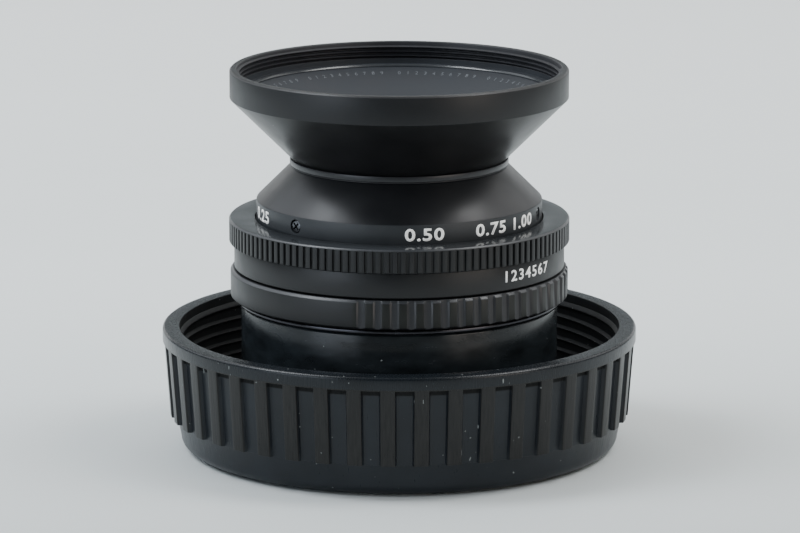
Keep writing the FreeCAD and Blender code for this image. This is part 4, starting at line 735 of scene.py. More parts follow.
# %% Aperture ring
APERTURE_OUT = 28.8
APERTURE_LOW, APERTURE_HIGH = 26.3, 31.15
HUB_OUT = 27.0
APERTURE_BORE = 25.5
FLUTES, FLUTE_PITCH, FLUTE_ANGLE, FLUTE_WALL, FLUTE_DEPTH = 33, 5.625, 2.4, 0.6, 0.45
FLUTE_LEAN = 0.05      # the cutter ran out upwards, so each flute's floor leans back
FIRST_FLUTE = -102.8
PLAIN_STEPS = 124
SECTION_TOLERANCE, SECTOR_TOLERANCE = 1e-7, 1e-3    # in metres and in degrees


def select_start_section(piece):
    """Selects the vertices that lie in the plane where the outline was drawn."""
    bpy.ops.mesh.select_all(action="DESELECT")
    mesh = bmesh.from_edit_mesh(piece.data)
    for v in mesh.verts:
        v.select = abs(v.co.y) < SECTION_TOLERANCE and v.co.x > 0
    mesh.select_flush(True)


def select_sector(piece, start, end):
    """Selects the faces whose centre lies between two azimuths from +X, anticlockwise, in degrees."""
    bpy.ops.mesh.select_all(action="DESELECT")
    mesh = bmesh.from_edit_mesh(piece.data)
    for face in mesh.faces:
        centre = face.calc_center_median()
        azimuth = math.degrees(math.atan2(centre.y, centre.x))
        face.select_set(start - SECTOR_TOLERANCE < azimuth < end + SECTOR_TOLERANCE)


def aperture_ring():
    """The plain part in one sweep, then the flutes as copies of one wedge."""
    low_edge, high_edge = 0.25, 0.45
    bottom, top = height_of("aperture_ring", top=False), height_of("aperture_ring")
    outline = [
        (APERTURE_BORE, bottom), (HUB_OUT, bottom), (HUB_OUT, APERTURE_LOW),
        (APERTURE_OUT - low_edge, APERTURE_LOW), (APERTURE_OUT, APERTURE_LOW + low_edge),
        (APERTURE_OUT, APERTURE_HIGH - high_edge), (APERTURE_OUT - high_edge, APERTURE_HIGH),
        (HUB_OUT, APERTURE_HIGH), (HUB_OUT, top), (APERTURE_BORE, top),
    ]
    ring = draw_outline("aperture_setting_ring", outline)
    plain = FULL_TURN - FLUTES * FLUTE_PITCH
    bpy.ops.mesh.select_all(action="SELECT")
    sweep(-plain, PLAIN_STEPS)
    select_start_section(ring)
    grooves = [(r, z, APERTURE_OUT - FLUTE_DEPTH + FLUTE_LEAN * (APERTURE_HIGH - z)) for r, z in outline[3:7]]
    fluted(grooves, FLUTE_WALL, FLUTE_ANGLE, 2, FLUTE_PITCH - FLUTE_ANGLE, 3)
    select_sector(ring, 0, FLUTE_PITCH)
    copy_round(FLUTES, FLUTE_PITCH)
    turn_piece(FIRST_FLUTE - (FLUTE_ANGLE + FLUTE_WALL) / 2)
    weld_and_face_out()
    return soften(ring, width=0.06)


ring = aperture_ring()
paint(ring, RING_BLACK)
FLUTED_SPAN = FLUTES * FLUTE_PITCH / 2
FLUTED_MIDDLE = FIRST_FLUTE + FLUTED_SPAN - FLUTE_PITCH / 2
paint_faces(ring, FLUTE_GREY, lambda r, z, normal, azimuth: APERTURE_LOW < z < APERTURE_HIGH
            and APERTURE_OUT - FLUTE_DEPTH - 0.1 < r < APERTURE_OUT - 0.01 and abs(normal.z) < 0.4)
paint_faces(ring, LAND_BLACK, lambda r, z, normal, azimuth: r > APERTURE_OUT - 0.01 and abs(normal.z) < 0.1
            and abs(azimuth - FLUTED_MIDDLE) < FLUTED_SPAN)
# Wear and a painted highlight on the upper chamfer, which faces up.
paint_faces(ring, EDGE_WEAR_AND_HIGHLIGHT, lambda r, z, normal, azimuth: z > APERTURE_HIGH - 0.5 and 0.3 < normal.z < 0.97
            and r > HUB_OUT)
place_on_body(ring, "aperture_ring", "black_anodised_aluminium", "aperture_ring")

# %% [markdown]
# ## The index ring and the knurled grip ring
# The index ring is plain and carries the white index line. Above it, the grip ring has a fine straight
# knurl: 132 narrow grooves that stop just under a plain lip. Its flat top is polished, and mirrors the skirt
# above.

# %% Index ring
SHOULDER = 26.03
INDEX_OUT = radius_of("index_ring")
INDEX_LOW, INDEX_HIGH = height_of("index_ring", top=False), height_of("index_ring")
INDEX_CHAMFER = 0.15
index_ring = turned("index_band", [
    (SHOULDER, INDEX_LOW), (INDEX_OUT - INDEX_CHAMFER, INDEX_LOW), (INDEX_OUT, INDEX_LOW + INDEX_CHAMFER),
    (INDEX_OUT, INDEX_HIGH), (SHOULDER, INDEX_HIGH),
], edge=0.04)
paint(index_ring, RING_BLACK)
place_on_body(index_ring, "lens_body", "black_anodised_aluminium", "index_ring")

# %% Grip ring
GRIP_OUT = radius_of("grip_ring")
GRIP_TOP = height_of("grip_ring")
GRIP_HUB = 27.6
GRIP_LOW = INDEX_HIGH + 0.15
KNURLS, KNURL_ANGLE, KNURL_WALL, KNURL_DEPTH = 132, 1.05, 0.14, 0.45
KNURL_TOP = GRIP_TOP - 0.45
KNURL_RUNOUT = 0.1
BAND_CLEAR = 24.6
SHOULDER_TOP = 39.1


def grip_ring():
    """The knurled ring, as copies of one groove and land."""
    edge, top_edge = 0.15, 0.25
    pitch = FULL_TURN / KNURLS
    outline = [
        (SHOULDER, INDEX_HIGH), (GRIP_HUB, INDEX_HIGH), (GRIP_HUB, GRIP_LOW), (GRIP_OUT - edge, GRIP_LOW),
        (GRIP_OUT, GRIP_LOW + edge), (GRIP_OUT, KNURL_TOP), (GRIP_OUT, KNURL_TOP + KNURL_RUNOUT),
        (GRIP_OUT, GRIP_TOP - top_edge), (GRIP_OUT - top_edge, GRIP_TOP), (BAND_CLEAR, GRIP_TOP),
        (BAND_CLEAR, SHOULDER_TOP), (SHOULDER, SHOULDER_TOP),
    ]
    grip = draw_outline("knurled_grip_ring", outline)
    bpy.ops.mesh.select_all(action="SELECT")
    floor = GRIP_OUT - KNURL_DEPTH
    fluted([(r, z, floor) for r, z in outline[3:6]], KNURL_WALL, KNURL_ANGLE, 1, pitch - KNURL_ANGLE, 2)
    bpy.ops.mesh.select_all(action="SELECT")
    copy_round(KNURLS, pitch)
    turn_piece(-(KNURL_ANGLE + KNURL_WALL) / 2)
    weld_and_face_out()
    return soften(grip, width=0.035)


grip = grip_ring()
paint(grip, RING_BLACK)
paint_faces(grip, POLISHED_BLACK, lambda r, z, normal, azimuth: normal.z > 0.9 and z > GRIP_TOP - 0.05)
# Wear and a painted highlight on the top chamfer, which faces up.
paint_faces(grip, EDGE_WEAR_AND_HIGHLIGHT, lambda r, z, normal, azimuth: 0.2 < normal.z < 0.95 and z > GRIP_TOP - 0.3
            and r > GRIP_OUT - 0.3)
place_on_body(grip, "lens_body", "black_anodised_aluminium", "grip_ring")

# %% [markdown]
# ## The skirt, its screws and the neck
# The skirt is a band with a cone above it. Three small cross-head screws hold it, sunk a little into the
# band. The holes are cut with a boolean, because they cross the round wall sideways and a spin can't make
# them.

# %% Skirt
BAND_OUT = radius_of("skirt")
SKIRT_LOW, SKIRT_HIGH = height_of("skirt", top=False), height_of("skirt")
BAND_TOP = 43.0
SKIRT_TOP_RADIUS = 18.45
NECK_BORE = 14.85
SKIRT_BORE, INNER_CONE_LOW = 23.05, 43.45
CEILING, CEILING_RADIUS = 47.5, 16.75
SCREW_LEVEL = 41.35
FIRST_SCREW, SCREWS = -135.4, 3
SCREW_PITCH = FULL_TURN / SCREWS
SCREW_HEAD, SCREW_LENGTH, SCREW_SINK, SCREW_DOME = 1.05, 0.7, 0.15, 0.22
SCREW_HOLE, HOLE_DEPTH, HOLE_PAST = 1.2, 2.0, 1.15
SCREW_SIDES = 40

skirt = turned("skirt_shell", [
    (SKIRT_BORE, SKIRT_LOW), (BAND_OUT, SKIRT_LOW), (BAND_OUT, BAND_TOP), (SKIRT_TOP_RADIUS, SKIRT_HIGH),
    (NECK_BORE, SKIRT_HIGH), (NECK_BORE, CEILING), (CEILING_RADIUS, CEILING), (SKIRT_BORE, INNER_CONE_LOW),
], edge=0.12)


def radial_cylinder(name, radius, depth, outer_radius, azimuth):
    """A cylinder that points at the axis, its outer end at outer_radius; azimuth from +X."""
    deselect_all()
    middle = (outer_radius - depth / 2) * MM
    angle = math.radians(azimuth)
    bpy.ops.mesh.primitive_cylinder_add(
        vertices=SCREW_SIDES, radius=radius * MM, depth=depth * MM,
        location=(middle * math.cos(angle), middle * math.sin(angle), SCREW_LEVEL * MM),
        rotation=(0, math.pi / 2, angle))
    piece = bpy.context.object
    piece.name = piece.data.name = name
    bpy.ops.object.transform_apply(location=True, rotation=True, scale=True)
    return piece


def cut_with(piece, cutter):
    """Boolean difference, then the cutter goes."""
    boolean = piece.modifiers.new("hole", "BOOLEAN")
    boolean.object = cutter
    boolean.operation = "DIFFERENCE"
    boolean.solver = "EXACT"
    deselect_all()
    bpy.context.view_layer.objects.active = piece
    piece.select_set(True)
    bpy.ops.object.modifier_apply(modifier=boolean.name)
    bpy.data.objects.remove(cutter)


for turn in range(SCREWS):
    azimuth = FIRST_SCREW + SCREW_PITCH * turn
    cut_with(skirt, radial_cylinder("hole_cutter", SCREW_HOLE, HOLE_DEPTH, BAND_OUT + HOLE_PAST, azimuth))
bpy.ops.object.shade_smooth_by_angle(angle=SMOOTH_ANGLE)
paint(skirt, SKIRT_BLACK)
paint_faces(skirt, BAND_GREY, lambda r, z, normal, azimuth: z < BAND_TOP and r > BAND_OUT - 0.5)
place_on_body(skirt, "lens_body", "black_anodised_aluminium", "skirt")

# %% [markdown]
# A cross-head screw is a short cylinder: its rim is bevelled to a low dome, and the cross is cut by two thin
# boxes. One is modelled and the other two are turned copies of its mesh, so they stay separate screws.

# %% Skirt screws
CROSS_WIDTH, CROSS_LENGTH, CROSS_DEPTH = 0.34, 1.5, 0.5


def cross_head_screw():
    """The first screw, in its place in the band."""
    outer = BAND_OUT - SCREW_SINK
    screw = radial_cylinder("skirt_screw_1", SCREW_HEAD, SCREW_LENGTH, outer, FIRST_SCREW)
    soften(screw, width=SCREW_DOME, segments=4)
    angle = math.radians(FIRST_SCREW)
    place = Vector((math.cos(angle), math.sin(angle), 0)) * outer * MM
    place.z = SCREW_LEVEL * MM
    for lean in (45, 135):
        deselect_all()
        bpy.ops.mesh.primitive_cube_add(size=MM, location=place, rotation=(math.radians(lean), 0, angle),
                                        scale=(CROSS_DEPTH * 2, CROSS_WIDTH, CROSS_LENGTH))
        cut_with(screw, bpy.context.object)
    bpy.ops.object.transform_apply(location=True, rotation=True, scale=True)
    bpy.ops.object.shade_smooth_by_angle(angle=SMOOTH_ANGLE)
    return screw


first_screw = cross_head_screw()
paint(first_screw, BLACK_STEEL)
skirt_screws = [first_screw]
for turn in range(1, SCREWS):
    deselect_all()
    first_screw.select_set(True)
    bpy.context.view_layer.objects.active = first_screw
    bpy.ops.object.duplicate()
    copy = bpy.context.object
    copy.name = copy.data.name = f"skirt_screw_{turn + 1}"
    bpy.ops.object.mode_set(mode="EDIT")
    turn_piece(SCREW_PITCH * turn)
    bpy.ops.object.mode_set(mode="OBJECT")
    skirt_screws.append(copy)
for screw in skirt_screws:
    place_on_body(screw, "lens_body", "blackened_screw_steel", "skirt_screws")

# %% Neck ring
NECK_OUT = radius_of("neck_ring")
NECK_LOW, NECK_HIGH = height_of("neck_ring", top=False), height_of("neck_ring")
GROOVE, LIP = 0.09, 0.12    # two fine grooves with a lip between them, under the band
GROOVE_FLOOR = NECK_OUT - 0.3
LIP_LOW, LIP_HIGH = NECK_LOW + GROOVE, NECK_LOW + GROOVE + LIP
neck = turned("neck_collar", [
    (NECK_BORE, NECK_LOW), (GROOVE_FLOOR, NECK_LOW), (GROOVE_FLOOR, LIP_LOW), (NECK_OUT, LIP_LOW),
    (NECK_OUT, LIP_HIGH), (GROOVE_FLOOR, LIP_HIGH), (GROOVE_FLOOR, LIP_HIGH + GROOVE),
    (NECK_OUT, LIP_HIGH + GROOVE), (NECK_OUT, NECK_HIGH), (NECK_BORE, NECK_HIGH),
], edge=0.03)
paint(neck, NECK_GREY)
place_on_body(neck, "lens_body", "black_anodised_aluminium", "neck_ring")

# %% [markdown]
# ## The front cone and its filter thread
# One turned piece makes the upper cone, the filter rim and the ledge that holds the name ring. The filter
# thread is M55 x 0.75: a fine ridge on a helix, modelled like the dome's thread, standing on a wall turned
# to the thread's root.

# %% Front cone
CONE_LOW, RIM_HIGH = height_of("front_cone", top=False), height_of("front_cone")
FILTER_RIM = radius_of("front_cone")
NECK_RADIUS = 18.2
RIM_LOW = RIM_HIGH - 4.8
THREAD_CREST, THREAD_ROOT = 27.1, 27.5
THREAD_LOW = RIM_HIGH - 2.9
WALL_LOW = RIM_HIGH - 3.75
LEDGE_OUT, LEDGE_EDGE, LEDGE_TOP = 25.9, 0.3, WALL_LOW - 0.05
RIM_CHAMFER = 0.3
DISH_SEAT, CELL_SEAT = 60.45, 52.0    # where the name ring and the front cell sit

cone = turned("front_cone_and_rim", [
    (NECK_BORE, CONE_LOW), (NECK_RADIUS, CONE_LOW), (FILTER_RIM, RIM_LOW),
    (FILTER_RIM, RIM_HIGH - RIM_CHAMFER), (FILTER_RIM - RIM_CHAMFER, RIM_HIGH),
    (THREAD_ROOT + 0.12, RIM_HIGH), (THREAD_ROOT, RIM_HIGH - 0.2), (THREAD_ROOT, THREAD_LOW + 0.15),
    (THREAD_CREST, THREAD_LOW), (THREAD_CREST, WALL_LOW), (LEDGE_OUT + LEDGE_EDGE, LEDGE_TOP),
    (LEDGE_OUT, LEDGE_TOP - LEDGE_EDGE), (LEDGE_OUT, DISH_SEAT), (NECK_BORE, CELL_SEAT),
], edge=0.05)

FILTER_PITCH, FILTER_TURNS = 0.75, 3
FILTER_START = THREAD_LOW + 0.27
THREAD_WALL = THREAD_ROOT + 0.1    # the ridge is sunk this far
filter_ridge = ridge_section(FILTER_START, [(THREAD_WALL, 0.36), (THREAD_CREST, 0.07)])
filter_thread = helical_ridge("filter_thread_ridge", filter_ridge, FILTER_PITCH, FILTER_TURNS)
join(cone, filter_thread)
paint(cone, CONE_BLACK)
paint_faces(cone, RIM_BLACK, lambda r, z, normal, azimuth: z > RIM_LOW - 0.02 and r > THREAD_WALL)
paint_faces(cone, MOUTH_BLACK, lambda r, z, normal, azimuth: z > THREAD_LOW - 0.1 and r < THREAD_WALL)
paint_faces(cone, SLATE, lambda r, z, normal, azimuth: WALL_LOW - 1 < z < THREAD_LOW - 0.1
            and r < THREAD_WALL)
paint_faces(cone, POLISHED_BLACK, lambda r, z, normal, azimuth: WALL_LOW - 0.5 < z < WALL_LOW
            and LEDGE_OUT < r < LEDGE_OUT + LEDGE_EDGE and 0.4 < normal.z < 0.95)
place_on_body(cone, "lens_body", "black_anodised_aluminium", "front_cone")

# %% [markdown]
# ## The name ring and the front glass
# The dished name ring closes the mouth around the front lens. It is turned very smooth and anodised slate
# grey. The front cell's face and the retainer show inside it.

# %% Name ring
DISH_OUT = radius_of("name_ring")
DISH_TOP = height_of("name_ring")
DISH_MOUTH, DISH_HUB, DISH_LOW = 11.2, 14.75, 51.6
SLOPE_OUT, SLOPE_HIGH = DISH_OUT - 0.4, DISH_TOP - 0.15
SLOPE_IN, SLOPE_LOW = DISH_MOUTH + 0.35, 52.3
name_ring = turned("dished_name_ring", [
    (DISH_OUT, DISH_TOP - 0.95), (DISH_OUT, DISH_TOP - 0.1), (SLOPE_OUT, SLOPE_HIGH), (SLOPE_IN, SLOPE_LOW),
    (DISH_MOUTH, SLOPE_LOW - 0.2), (DISH_MOUTH, DISH_LOW), (DISH_HUB, DISH_LOW), (DISH_HUB, DISH_LOW + 0.5),
], edge=0.04)
paint(name_ring, SLATE)
place_on_body(name_ring, "lens_body", "slate_anodised_aluminium", "name_ring")

# %% Front retainer and lens
GLASS_OUT = radius_of("front_lens")
GLASS_SEAT, GLASS_POLE = height_of("front_lens", top=False), height_of("front_lens")
GLASS_CLEAR, GLASS_SAG, GLASS_CHAMFER, GLASS_EDGE = 9.8, 1.6, 0.15, 1.4
GLASS_TOP = GLASS_SEAT + GLASS_EDGE
RETAINER_BORE, RETAINER_TOP, RETAINER_CHAMFER = 9.9, height_of("front_retainer"), 0.35

retainer = turned("front_retaining_ring", [
    (RETAINER_BORE, GLASS_TOP), (GLASS_OUT, GLASS_TOP), (GLASS_OUT, RETAINER_TOP),
    (RETAINER_BORE + RETAINER_CHAMFER, RETAINER_TOP),
], edge=0.03)
paint(retainer, RING_BLACK)
place_on_body(retainer, "lens_body", "black_anodised_aluminium", "front_retainer")

GLASS_STEPS = 96
GLASS_BALL = (GLASS_CLEAR ** 2 + GLASS_SAG ** 2) / (2 * GLASS_SAG)
RIM_LEAN = math.degrees(math.acos(GLASS_CLEAR / GLASS_BALL))
lens = draw_outline("front_glass", [
    (0.0, GLASS_SEAT), (GLASS_OUT - GLASS_CHAMFER, GLASS_SEAT), (GLASS_OUT, GLASS_SEAT + GLASS_CHAMFER),
    (GLASS_OUT, GLASS_TOP), (GLASS_CLEAR, GLASS_TOP),
    *arc(0.0, GLASS_POLE - GLASS_BALL, GLASS_BALL, RIM_LEAN, 90, 14)[1:-1], (0.0, GLASS_POLE),
], closed=False)
bpy.ops.mesh.select_all(action="SELECT")
sweep(FULL_TURN, GLASS_STEPS)
weld_and_face_out()
soften(lens, width=0)
paint(lens, COATED_GLASS)
place_on_body(lens, "lens_body", "coated_glass", "front_lens")

# %% [markdown]
# ## White figures and lines
# The figures are engraved a few hundredths of a millimetre deep and filled with enamel, so they read as flat
# white shapes that follow the round wall. Each group of figures is a text object turned to a mesh, stood up
# to face the front, bent to the wall's radius with the Simple Deform modifier, and pushed out to the wall.

# %% Figures on a round wall
PROUD = 0.02
ENAMEL_DEPTH = 0.05


def figures(name, words, height, radius, level, azimuth, spacing=1.0, heavier=0.0, wider=1.0):
    """White figures round a wall. azimuth is their middle, in degrees from the front towards the right."""
    deselect_all()
    bpy.ops.object.text_add(rotation=(math.pi / 2, 0, 0))
    text = bpy.context.object
    text.data.body = words
    text.data.size = height * MM
    text.data.space_character = spacing
    text.data.align_x = "CENTER"
    text.data.offset = heavier * MM
    text.data.resolution_u = 3
    bpy.ops.object.convert(target="MESH")
    piece = bpy.context.object
    piece.name = piece.data.name = name
    bpy.ops.object.transform_apply(location=True, rotation=True, scale=True)
    low = Vector([min(v.co[i] for v in piece.data.vertices) for i in range(3)])
    high = Vector([max(v.co[i] for v in piece.data.vertices) for i in range(3)])
    grow = height * MM / (high.z - low.z)
    length = (high.x - low.x) * grow * wider
    bpy.ops.object.mode_set(mode="EDIT")
    bpy.ops.mesh.select_all(action="SELECT")
    bpy.ops.transform.translate(value=-(low + high) / 2)
    bpy.ops.transform.resize(value=(grow * wider, 1, grow), center_override=ON_AXIS)
    bpy.ops.mesh.extrude_region_move(TRANSFORM_OT_translate={"value": (0, ENAMEL_DEPTH * MM, 0)})
    bpy.ops.object.mode_set(mode="OBJECT")
    bend = piece.modifiers.new("round_the_wall", "SIMPLE_DEFORM")
    bend.deform_method = "BEND"
    bend.deform_axis = "Z"
    bend.angle = length / (radius * MM)
    bpy.ops.object.modifier_apply(modifier=bend.name)
    bpy.ops.object.mode_set(mode="EDIT")
    bpy.ops.mesh.select_all(action="SELECT")
    bpy.ops.transform.translate(value=(0, -(radius + PROUD) * MM, level * MM))
    turn_piece(azimuth)
    weld_and_face_out()
    paint(piece, ENAMEL)
    print(f"{name}: {words} is {length / MM:.1f} mm long")
    return piece


SKIRT_FIGURE, INDEX_FIGURE, STOP_FIGURE = 2.15, 1.95, 1.9
SKIRT_FIGURES = {"025": ("0.25", -72.0), "050": ("0.50", 10.0), "075_100": ("0.75 1.00", 48.8)}
INDEX_FIGURES, INDEX_FIGURES_LEVEL, INDEX_FIGURES_AZIMUTH = "1234567", 33.8, 50.4
for label, (words, azimuth) in SKIRT_FIGURES.items():
    scale = figures(f"skirt_figures_{label}", words, SKIRT_FIGURE, BAND_OUT, SCREW_LEVEL, azimuth,
                    spacing=1.1, heavier=0.05, wider=1.25)
    place_on_body(scale, "lens_body", "black_anodised_aluminium")
number = figures("index_band_figures", INDEX_FIGURES, INDEX_FIGURE, INDEX_OUT, INDEX_FIGURES_LEVEL,
                 INDEX_FIGURES_AZIMUTH, spacing=1.2, heavier=0.03, wider=1.1)
place_on_body(number, "lens_body", "black_anodised_aluminium")

# %% Aperture figures
INDEX_AZIMUTH = -88.0
STOPS = ["4", "5.6", "8", "11", "16", "22", "32"]
STOP_TRAVEL = 52.0    # the ring's whole turn, in degrees
STOP_STEP = STOP_TRAVEL / (len(STOPS) - 1)
STOP_LEVEL = (APERTURE_LOW + APERTURE_HIGH) / 2 - 0.1
for step, stop in enumerate(STOPS):
    figure = figures(f"aperture_figure_{stop.replace('.', '_')}", stop, STOP_FIGURE, APERTURE_OUT,
                     STOP_LEVEL, INDEX_AZIMUTH - STOP_STEP * step)
    place_on_body(figure, "aperture_ring", "black_anodised_aluminium")

# %% [markdown]
# The dished name ring has a ring of small figures, filled with grey enamel. It is a cone, so each figure is
# a text object of its own, laid on the slope with its head outwards, and all of them become one mesh.

# %% Name ring figures
NAME_FIGURE = 1.15
NAME_RADIUS = 24.1
NAME_FIGURES = "0123456789 " * 9
DISH_LEAN = math.atan2(SLOPE_HIGH - SLOPE_LOW, SLOPE_OUT - SLOPE_IN)
NAME_LEVEL = SLOPE_HIGH - (SLOPE_OUT - NAME_RADIUS) * math.tan(DISH_LEAN)


def name_ring_figures():
    """Plain digits all the way round the dish, with gaps between the tens."""
    digits = []
    for place, digit in enumerate(NAME_FIGURES):
        if digit == " ":
            continue
        azimuth = -2 * math.pi * place / len(NAME_FIGURES)
        spot = Vector((-math.sin(azimuth) * NAME_RADIUS, math.cos(azimuth) * NAME_RADIUS, NAME_LEVEL)) * MM
        deselect_all()
        bpy.ops.object.text_add(location=spot, rotation=(DISH_LEAN, 0, azimuth))
        text = bpy.context.object
        text.data.body = digit
        text.data.size = NAME_FIGURE * MM
        text.data.align_x = text.data.align_y = "CENTER"
        text.data.extrude = PROUD * MM
        text.data.resolution_u = 2
        bpy.ops.object.convert(target="MESH")
        digits.append(bpy.context.object)
    piece = join(*digits)
    piece.name = piece.data.name = "name_ring_figures"
    bpy.ops.object.transform_apply(location=True, rotation=True, scale=True)
    bpy.ops.object.mode_set(mode="EDIT")
    weld_and_face_out()
    paint(piece, GREY_ENAMEL)
    return piece


place_on_body(name_ring_figures(), "lens_body", "slate_anodised_aluminium")

# %% [markdown]
# The index line is a short band of enamel, spun through one degree.

# %% Index line
INDEX_LINE = (0.5, 32.2, 35.2)    # width, low end and high end in mm


def enamel_line(name, radius, width, low, high, azimuth):
    """An upright white line on a round wall."""
    corners = [(radius + PROUD - ENAMEL_DEPTH, low), (radius + PROUD, low), (radius + PROUD, high),
               (radius + PROUD - ENAMEL_DEPTH, high)]
    line = draw_outline(name, corners)
    angle = math.degrees(width / radius)
    bpy.ops.mesh.select_all(action="SELECT")
    sweep(angle, 3)
    bpy.ops.mesh.select_all(action="SELECT")
    bpy.ops.mesh.fill_holes(sides=len(corners))
    turn_piece(azimuth - 90 - angle / 2)
    weld_and_face_out()
    soften(line, 0.01, segments=1)
    paint(line, ENAMEL)
    return line


index_line = enamel_line("index_line", INDEX_OUT, *INDEX_LINE, INDEX_AZIMUTH)
place_on_body(index_line, "lens_body", "black_anodised_aluminium")

# %% [markdown]
# ## Finishes for the pieces inside
# The barrel, cells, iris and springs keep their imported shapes, because they are hidden inside. Each one only
# gets its real finish. Their slots are named after the finish that the record asks for.

# %% Finishes for the carried-over pieces
FINISH_OF_SLOT = {
    "charcoal_plastic": CHARCOAL_ABS,
    "black_gloss_plastic": GLOSS_ABS,
    "black_anodised_aluminium": RING_BLACK,
    "slate_anodised_aluminium": SLATE,
    "dark_chrome_brass": DARK_CHROME,
    "blackened_screw_steel": BLACK_STEEL,
    "bright_steel": BRIGHT_STEEL,
    "blade_steel": BLADE_LACQUER,
    "coated_glass": COATED_GLASS,
}
for name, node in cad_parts.items():
    for place in node.material_slots:
        place.material = FINISH_OF_SLOT[place.material.name.split(".")[0]]
print("finished", len(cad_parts), "carried-over nodes")

# %% [markdown]
# ## The set
# The object stands on a pale sheet of board that curves up behind it, as on a photographer's table. The
# sheet is a plane whose far edge is pulled up and then rounded with a wide bevel. Shade and light are painted
# on the board: a painted shade fades it to grey towards the camera, so that the upright black walls mirror
# little light from there, and a painted light makes it nearly white at the far end, where less light falls.

# %% Floor and backdrop
HALF_WIDTH, NEAR_EDGE, FAR_EDGE, SHEET_TOP, SHEET_BEND = 1.3, -1.0, 1.7, 1.0, 0.3
NEAR_PALE, NEAR_GREY = 0.15, -0.5   # the painted shade turns the board from pale to grey between these
FAR_PALE, FAR_WHITE = 0.15, 0.6     # and the painted light turns it from pale to nearly white between these
BEND_STEPS = 24
NEAR_ENOUGH = 0.01
FIBRE_DEPTH = 0.02    # in mm


def paper_sweep():
    """The sheet: a floor, an upright far end and a wide bend between them."""
    deselect_all()
    bpy.ops.mesh.primitive_plane_add(size=1)
    sheet = bpy.context.object
    sheet.name = sheet.data.name = "paper_sweep"
    bpy.ops.object.mode_set(mode="EDIT")
    bpy.ops.transform.resize(value=(2 * HALF_WIDTH, FAR_EDGE - NEAR_EDGE, 1), center_override=ON_AXIS)
    bpy.ops.transform.translate(value=(0, (FAR_EDGE + NEAR_EDGE) / 2, 0))
    bpy.ops.mesh.select_mode(type="EDGE")
    bpy.ops.mesh.select_all(action="DESELECT")
    mesh = bmesh.from_edit_mesh(sheet.data)
    for edge in mesh.edges:
        edge.select_set(all(v.co.y > FAR_EDGE - NEAR_ENOUGH for v in edge.verts))
    bpy.ops.mesh.extrude_edges_move(TRANSFORM_OT_translate={"value": (0, 0, SHEET_TOP)})
    bpy.ops.mesh.select_all(action="DESELECT")
    mesh = bmesh.from_edit_mesh(sheet.data)
    for edge in mesh.edges:
        edge.select_set(all(v.co.y > FAR_EDGE - NEAR_ENOUGH and v.co.z < NEAR_ENOUGH for v in edge.verts))
    bpy.ops.mesh.bevel(offset=SHEET_BEND, segments=BEND_STEPS, affect="EDGES")
    bpy.ops.mesh.select_mode(type="VERT")
    bpy.ops.object.mode_set(mode="OBJECT")
    bpy.ops.object.shade_smooth()
    return sheet


def pale_board():
    """Matt card: fibres scatter all the light, with a trace of sheen; painted shade near, painted light far.
    """
    material, tree = new_finish("matt_pale_card_with_painted_light_and_shade")
    fibres = clouds(tree, size=0.4)
    tone = clouds(tree, size=120.0)
    depth = place_on_object(tree).outputs["Y"]
    painted_near_shade = add(tree, "ShaderNodeMapRange", {"Value": depth, "From Min": NEAR_GREY, "From Max": NEAR_PALE},
               interpolation_type="SMOOTHSTEP")
    painted_far_light = add(tree, "ShaderNodeMapRange", {"Value": depth, "From Min": FAR_PALE, "From Max": FAR_WHITE},
              interpolation_type="SMOOTHSTEP")
    pale_with_painted_light = add(tree, "ShaderNodeMix", {0: painted_far_light, MIX_FROM: cloudy_tone(tree, tone, "#e2e8e8", "#e6ecec"),
                                       MIX_TO: colour("#f7fbfb")}, data_type="RGBA")
    # Painted shade: the card turns grey towards the camera.
    painted_light_and_shade = add(tree, "ShaderNodeMix", {0: painted_near_shade, MIX_FROM: colour("#5f6465"), MIX_TO: pale_with_painted_light.outputs[MIXED]},
                 data_type="RGBA")
    gloss = add(tree, "ShaderNodeMapRange", {"Value": fibres, **NOISE_SPAN, "To Min": 0.72, "To Max": 0.82})
    relief = add(tree, "ShaderNodeBump", {"Height": fibres, "Distance": FIBRE_DEPTH * MM, "Strength": 0.3})
    surface = add(tree, "ShaderNodeBsdfPrincipled", {
        "Base Color": painted_light_and_shade.outputs[MIXED], "Roughness": gloss, "Specular IOR Level": 0.2, "Normal": relief})
    add(tree, "ShaderNodeOutputMaterial", {"Surface": surface})
    return material


sheet = paper_sweep()
paint(sheet, pale_board())

# %% [markdown]
# ## Light
# A black object is drawn by what it mirrors. The wide softbox overhead gives the pale floor and the thin
# bright lines on edges that face up. A strip at each side of it lies where the sloping skirt mirrors it, and
# leaves the middle of the skirt black. The two cards behind light the skirt's outermost edges. The softboxes
# at the sides and the low cards in front draw the upright walls, the left ones a little bluer and stronger.

# %% Lamps
AIM = Vector((0, 0, 0.03))


def soft_lamp(name, place, width, height, power, tint="#ffffff"):
    """A rectangular area lamp that points at the object; sizes in metres, power in watts."""
    deselect_all()
    bpy.ops.object.light_add(type="AREA", location=place)
    lamp = bpy.context.object
    lamp.name = lamp.data.name = name
    lamp.data.shape = "RECTANGLE"
    lamp.data.size, lamp.data.size_y = width, height
    lamp.data.energy = power
    lamp.data.color = colour(tint)[:3]
    lamp.rotation_euler = (AIM - Vector(place)).to_track_quat("-Z", "Y").to_euler()
    print(f"{name}: {power} W")


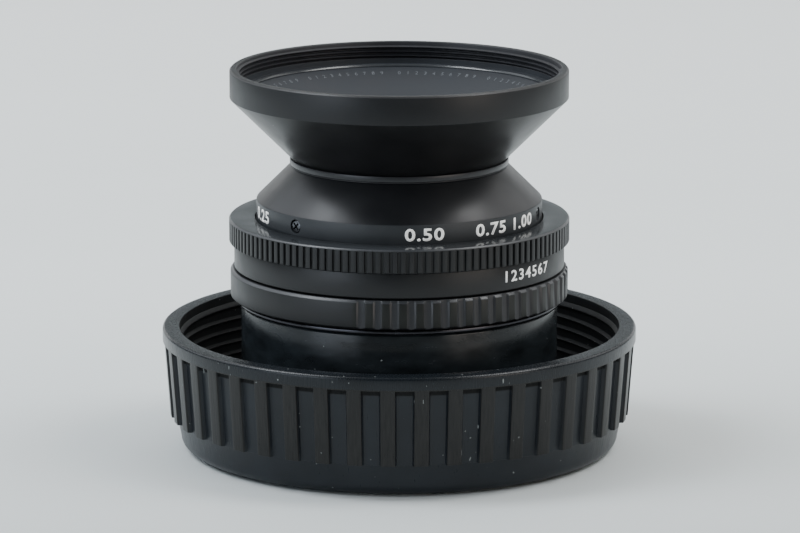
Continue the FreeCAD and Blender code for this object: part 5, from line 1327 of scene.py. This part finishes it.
# each has its place, its width and height, its power and, where it isn't white, its tint
soft_lamp("overhead_softbox", (0, 0.5, 0.85), 0.8, 0.8, 4.1)
soft_lamp("left_strip", (-0.48, 0.02, 0.82), 0.26, 0.36, 5.0, "#f4f9ff")
soft_lamp("right_strip", (0.46, 0.02, 0.82), 0.26, 0.36, 3.9)
soft_lamp("left_softbox", (-0.75, 0.25, 0.58), 1.0, 0.6, 3.8, "#f4f9ff")
soft_lamp("left_front_softbox", (-0.6, -0.35, 0.65), 0.5, 0.35, 1.9, "#f4f9ff")
soft_lamp("right_softbox", (0.75, 0.35, 0.5), 0.8, 0.5, 2.2)
soft_lamp("right_front_softbox", (0.55, -0.4, 0.6), 0.6, 0.4, 1.7)
soft_lamp("back_left_card", (-0.62, 1.4, 0.34), 0.7, 0.5, 1.0)
soft_lamp("back_right_card", (0.62, 1.4, 0.34), 0.7, 0.5, 1.0)
soft_lamp("low_left_card", (-0.6, -0.55, 0.14), 0.5, 0.25, 1.7, "#e8f2ff")
soft_lamp("low_right_card", (0.6, -0.5, 0.14), 0.4, 0.2, 1.1, "#fff3e8")

# %% Room light
ROOM_GLOW = 0.24
world = bpy.data.worlds.new("dim_room")
bpy.context.scene.world = world
world.use_nodes = True
world.node_tree.nodes.clear()
room = add(world.node_tree, "ShaderNodeBackground", {"Color": colour("#9aa3a6"), "Strength": ROOM_GLOW})
add(world.node_tree, "ShaderNodeOutputWorld", {"Surface": room})

# %% [markdown]
# ## Camera
# A long lens from well back and a little above keeps the ellipses of the rings shallow and the sides
# upright.

# %% Camera
CAMERA_HEIGHT_ANGLE = math.radians(12.13)
CAMERA_DISTANCE = 0.76035
LOOK_AT_HEIGHT = 0.03087
CAMERA_SIDE = 0.000129
SENSOR_WIDTH, FOCAL_LENGTH = 36.0, 200.28
bpy.ops.object.camera_add(
    location=(CAMERA_SIDE, -CAMERA_DISTANCE * math.cos(CAMERA_HEIGHT_ANGLE),
              LOOK_AT_HEIGHT + CAMERA_DISTANCE * math.sin(CAMERA_HEIGHT_ANGLE)),
    rotation=(math.pi / 2 - CAMERA_HEIGHT_ANGLE, 0, 0))
camera = bpy.context.object
camera.name = camera.data.name = "camera"
camera.data.sensor_width = SENSOR_WIDTH
camera.data.lens = FOCAL_LENGTH
bpy.context.scene.camera = camera
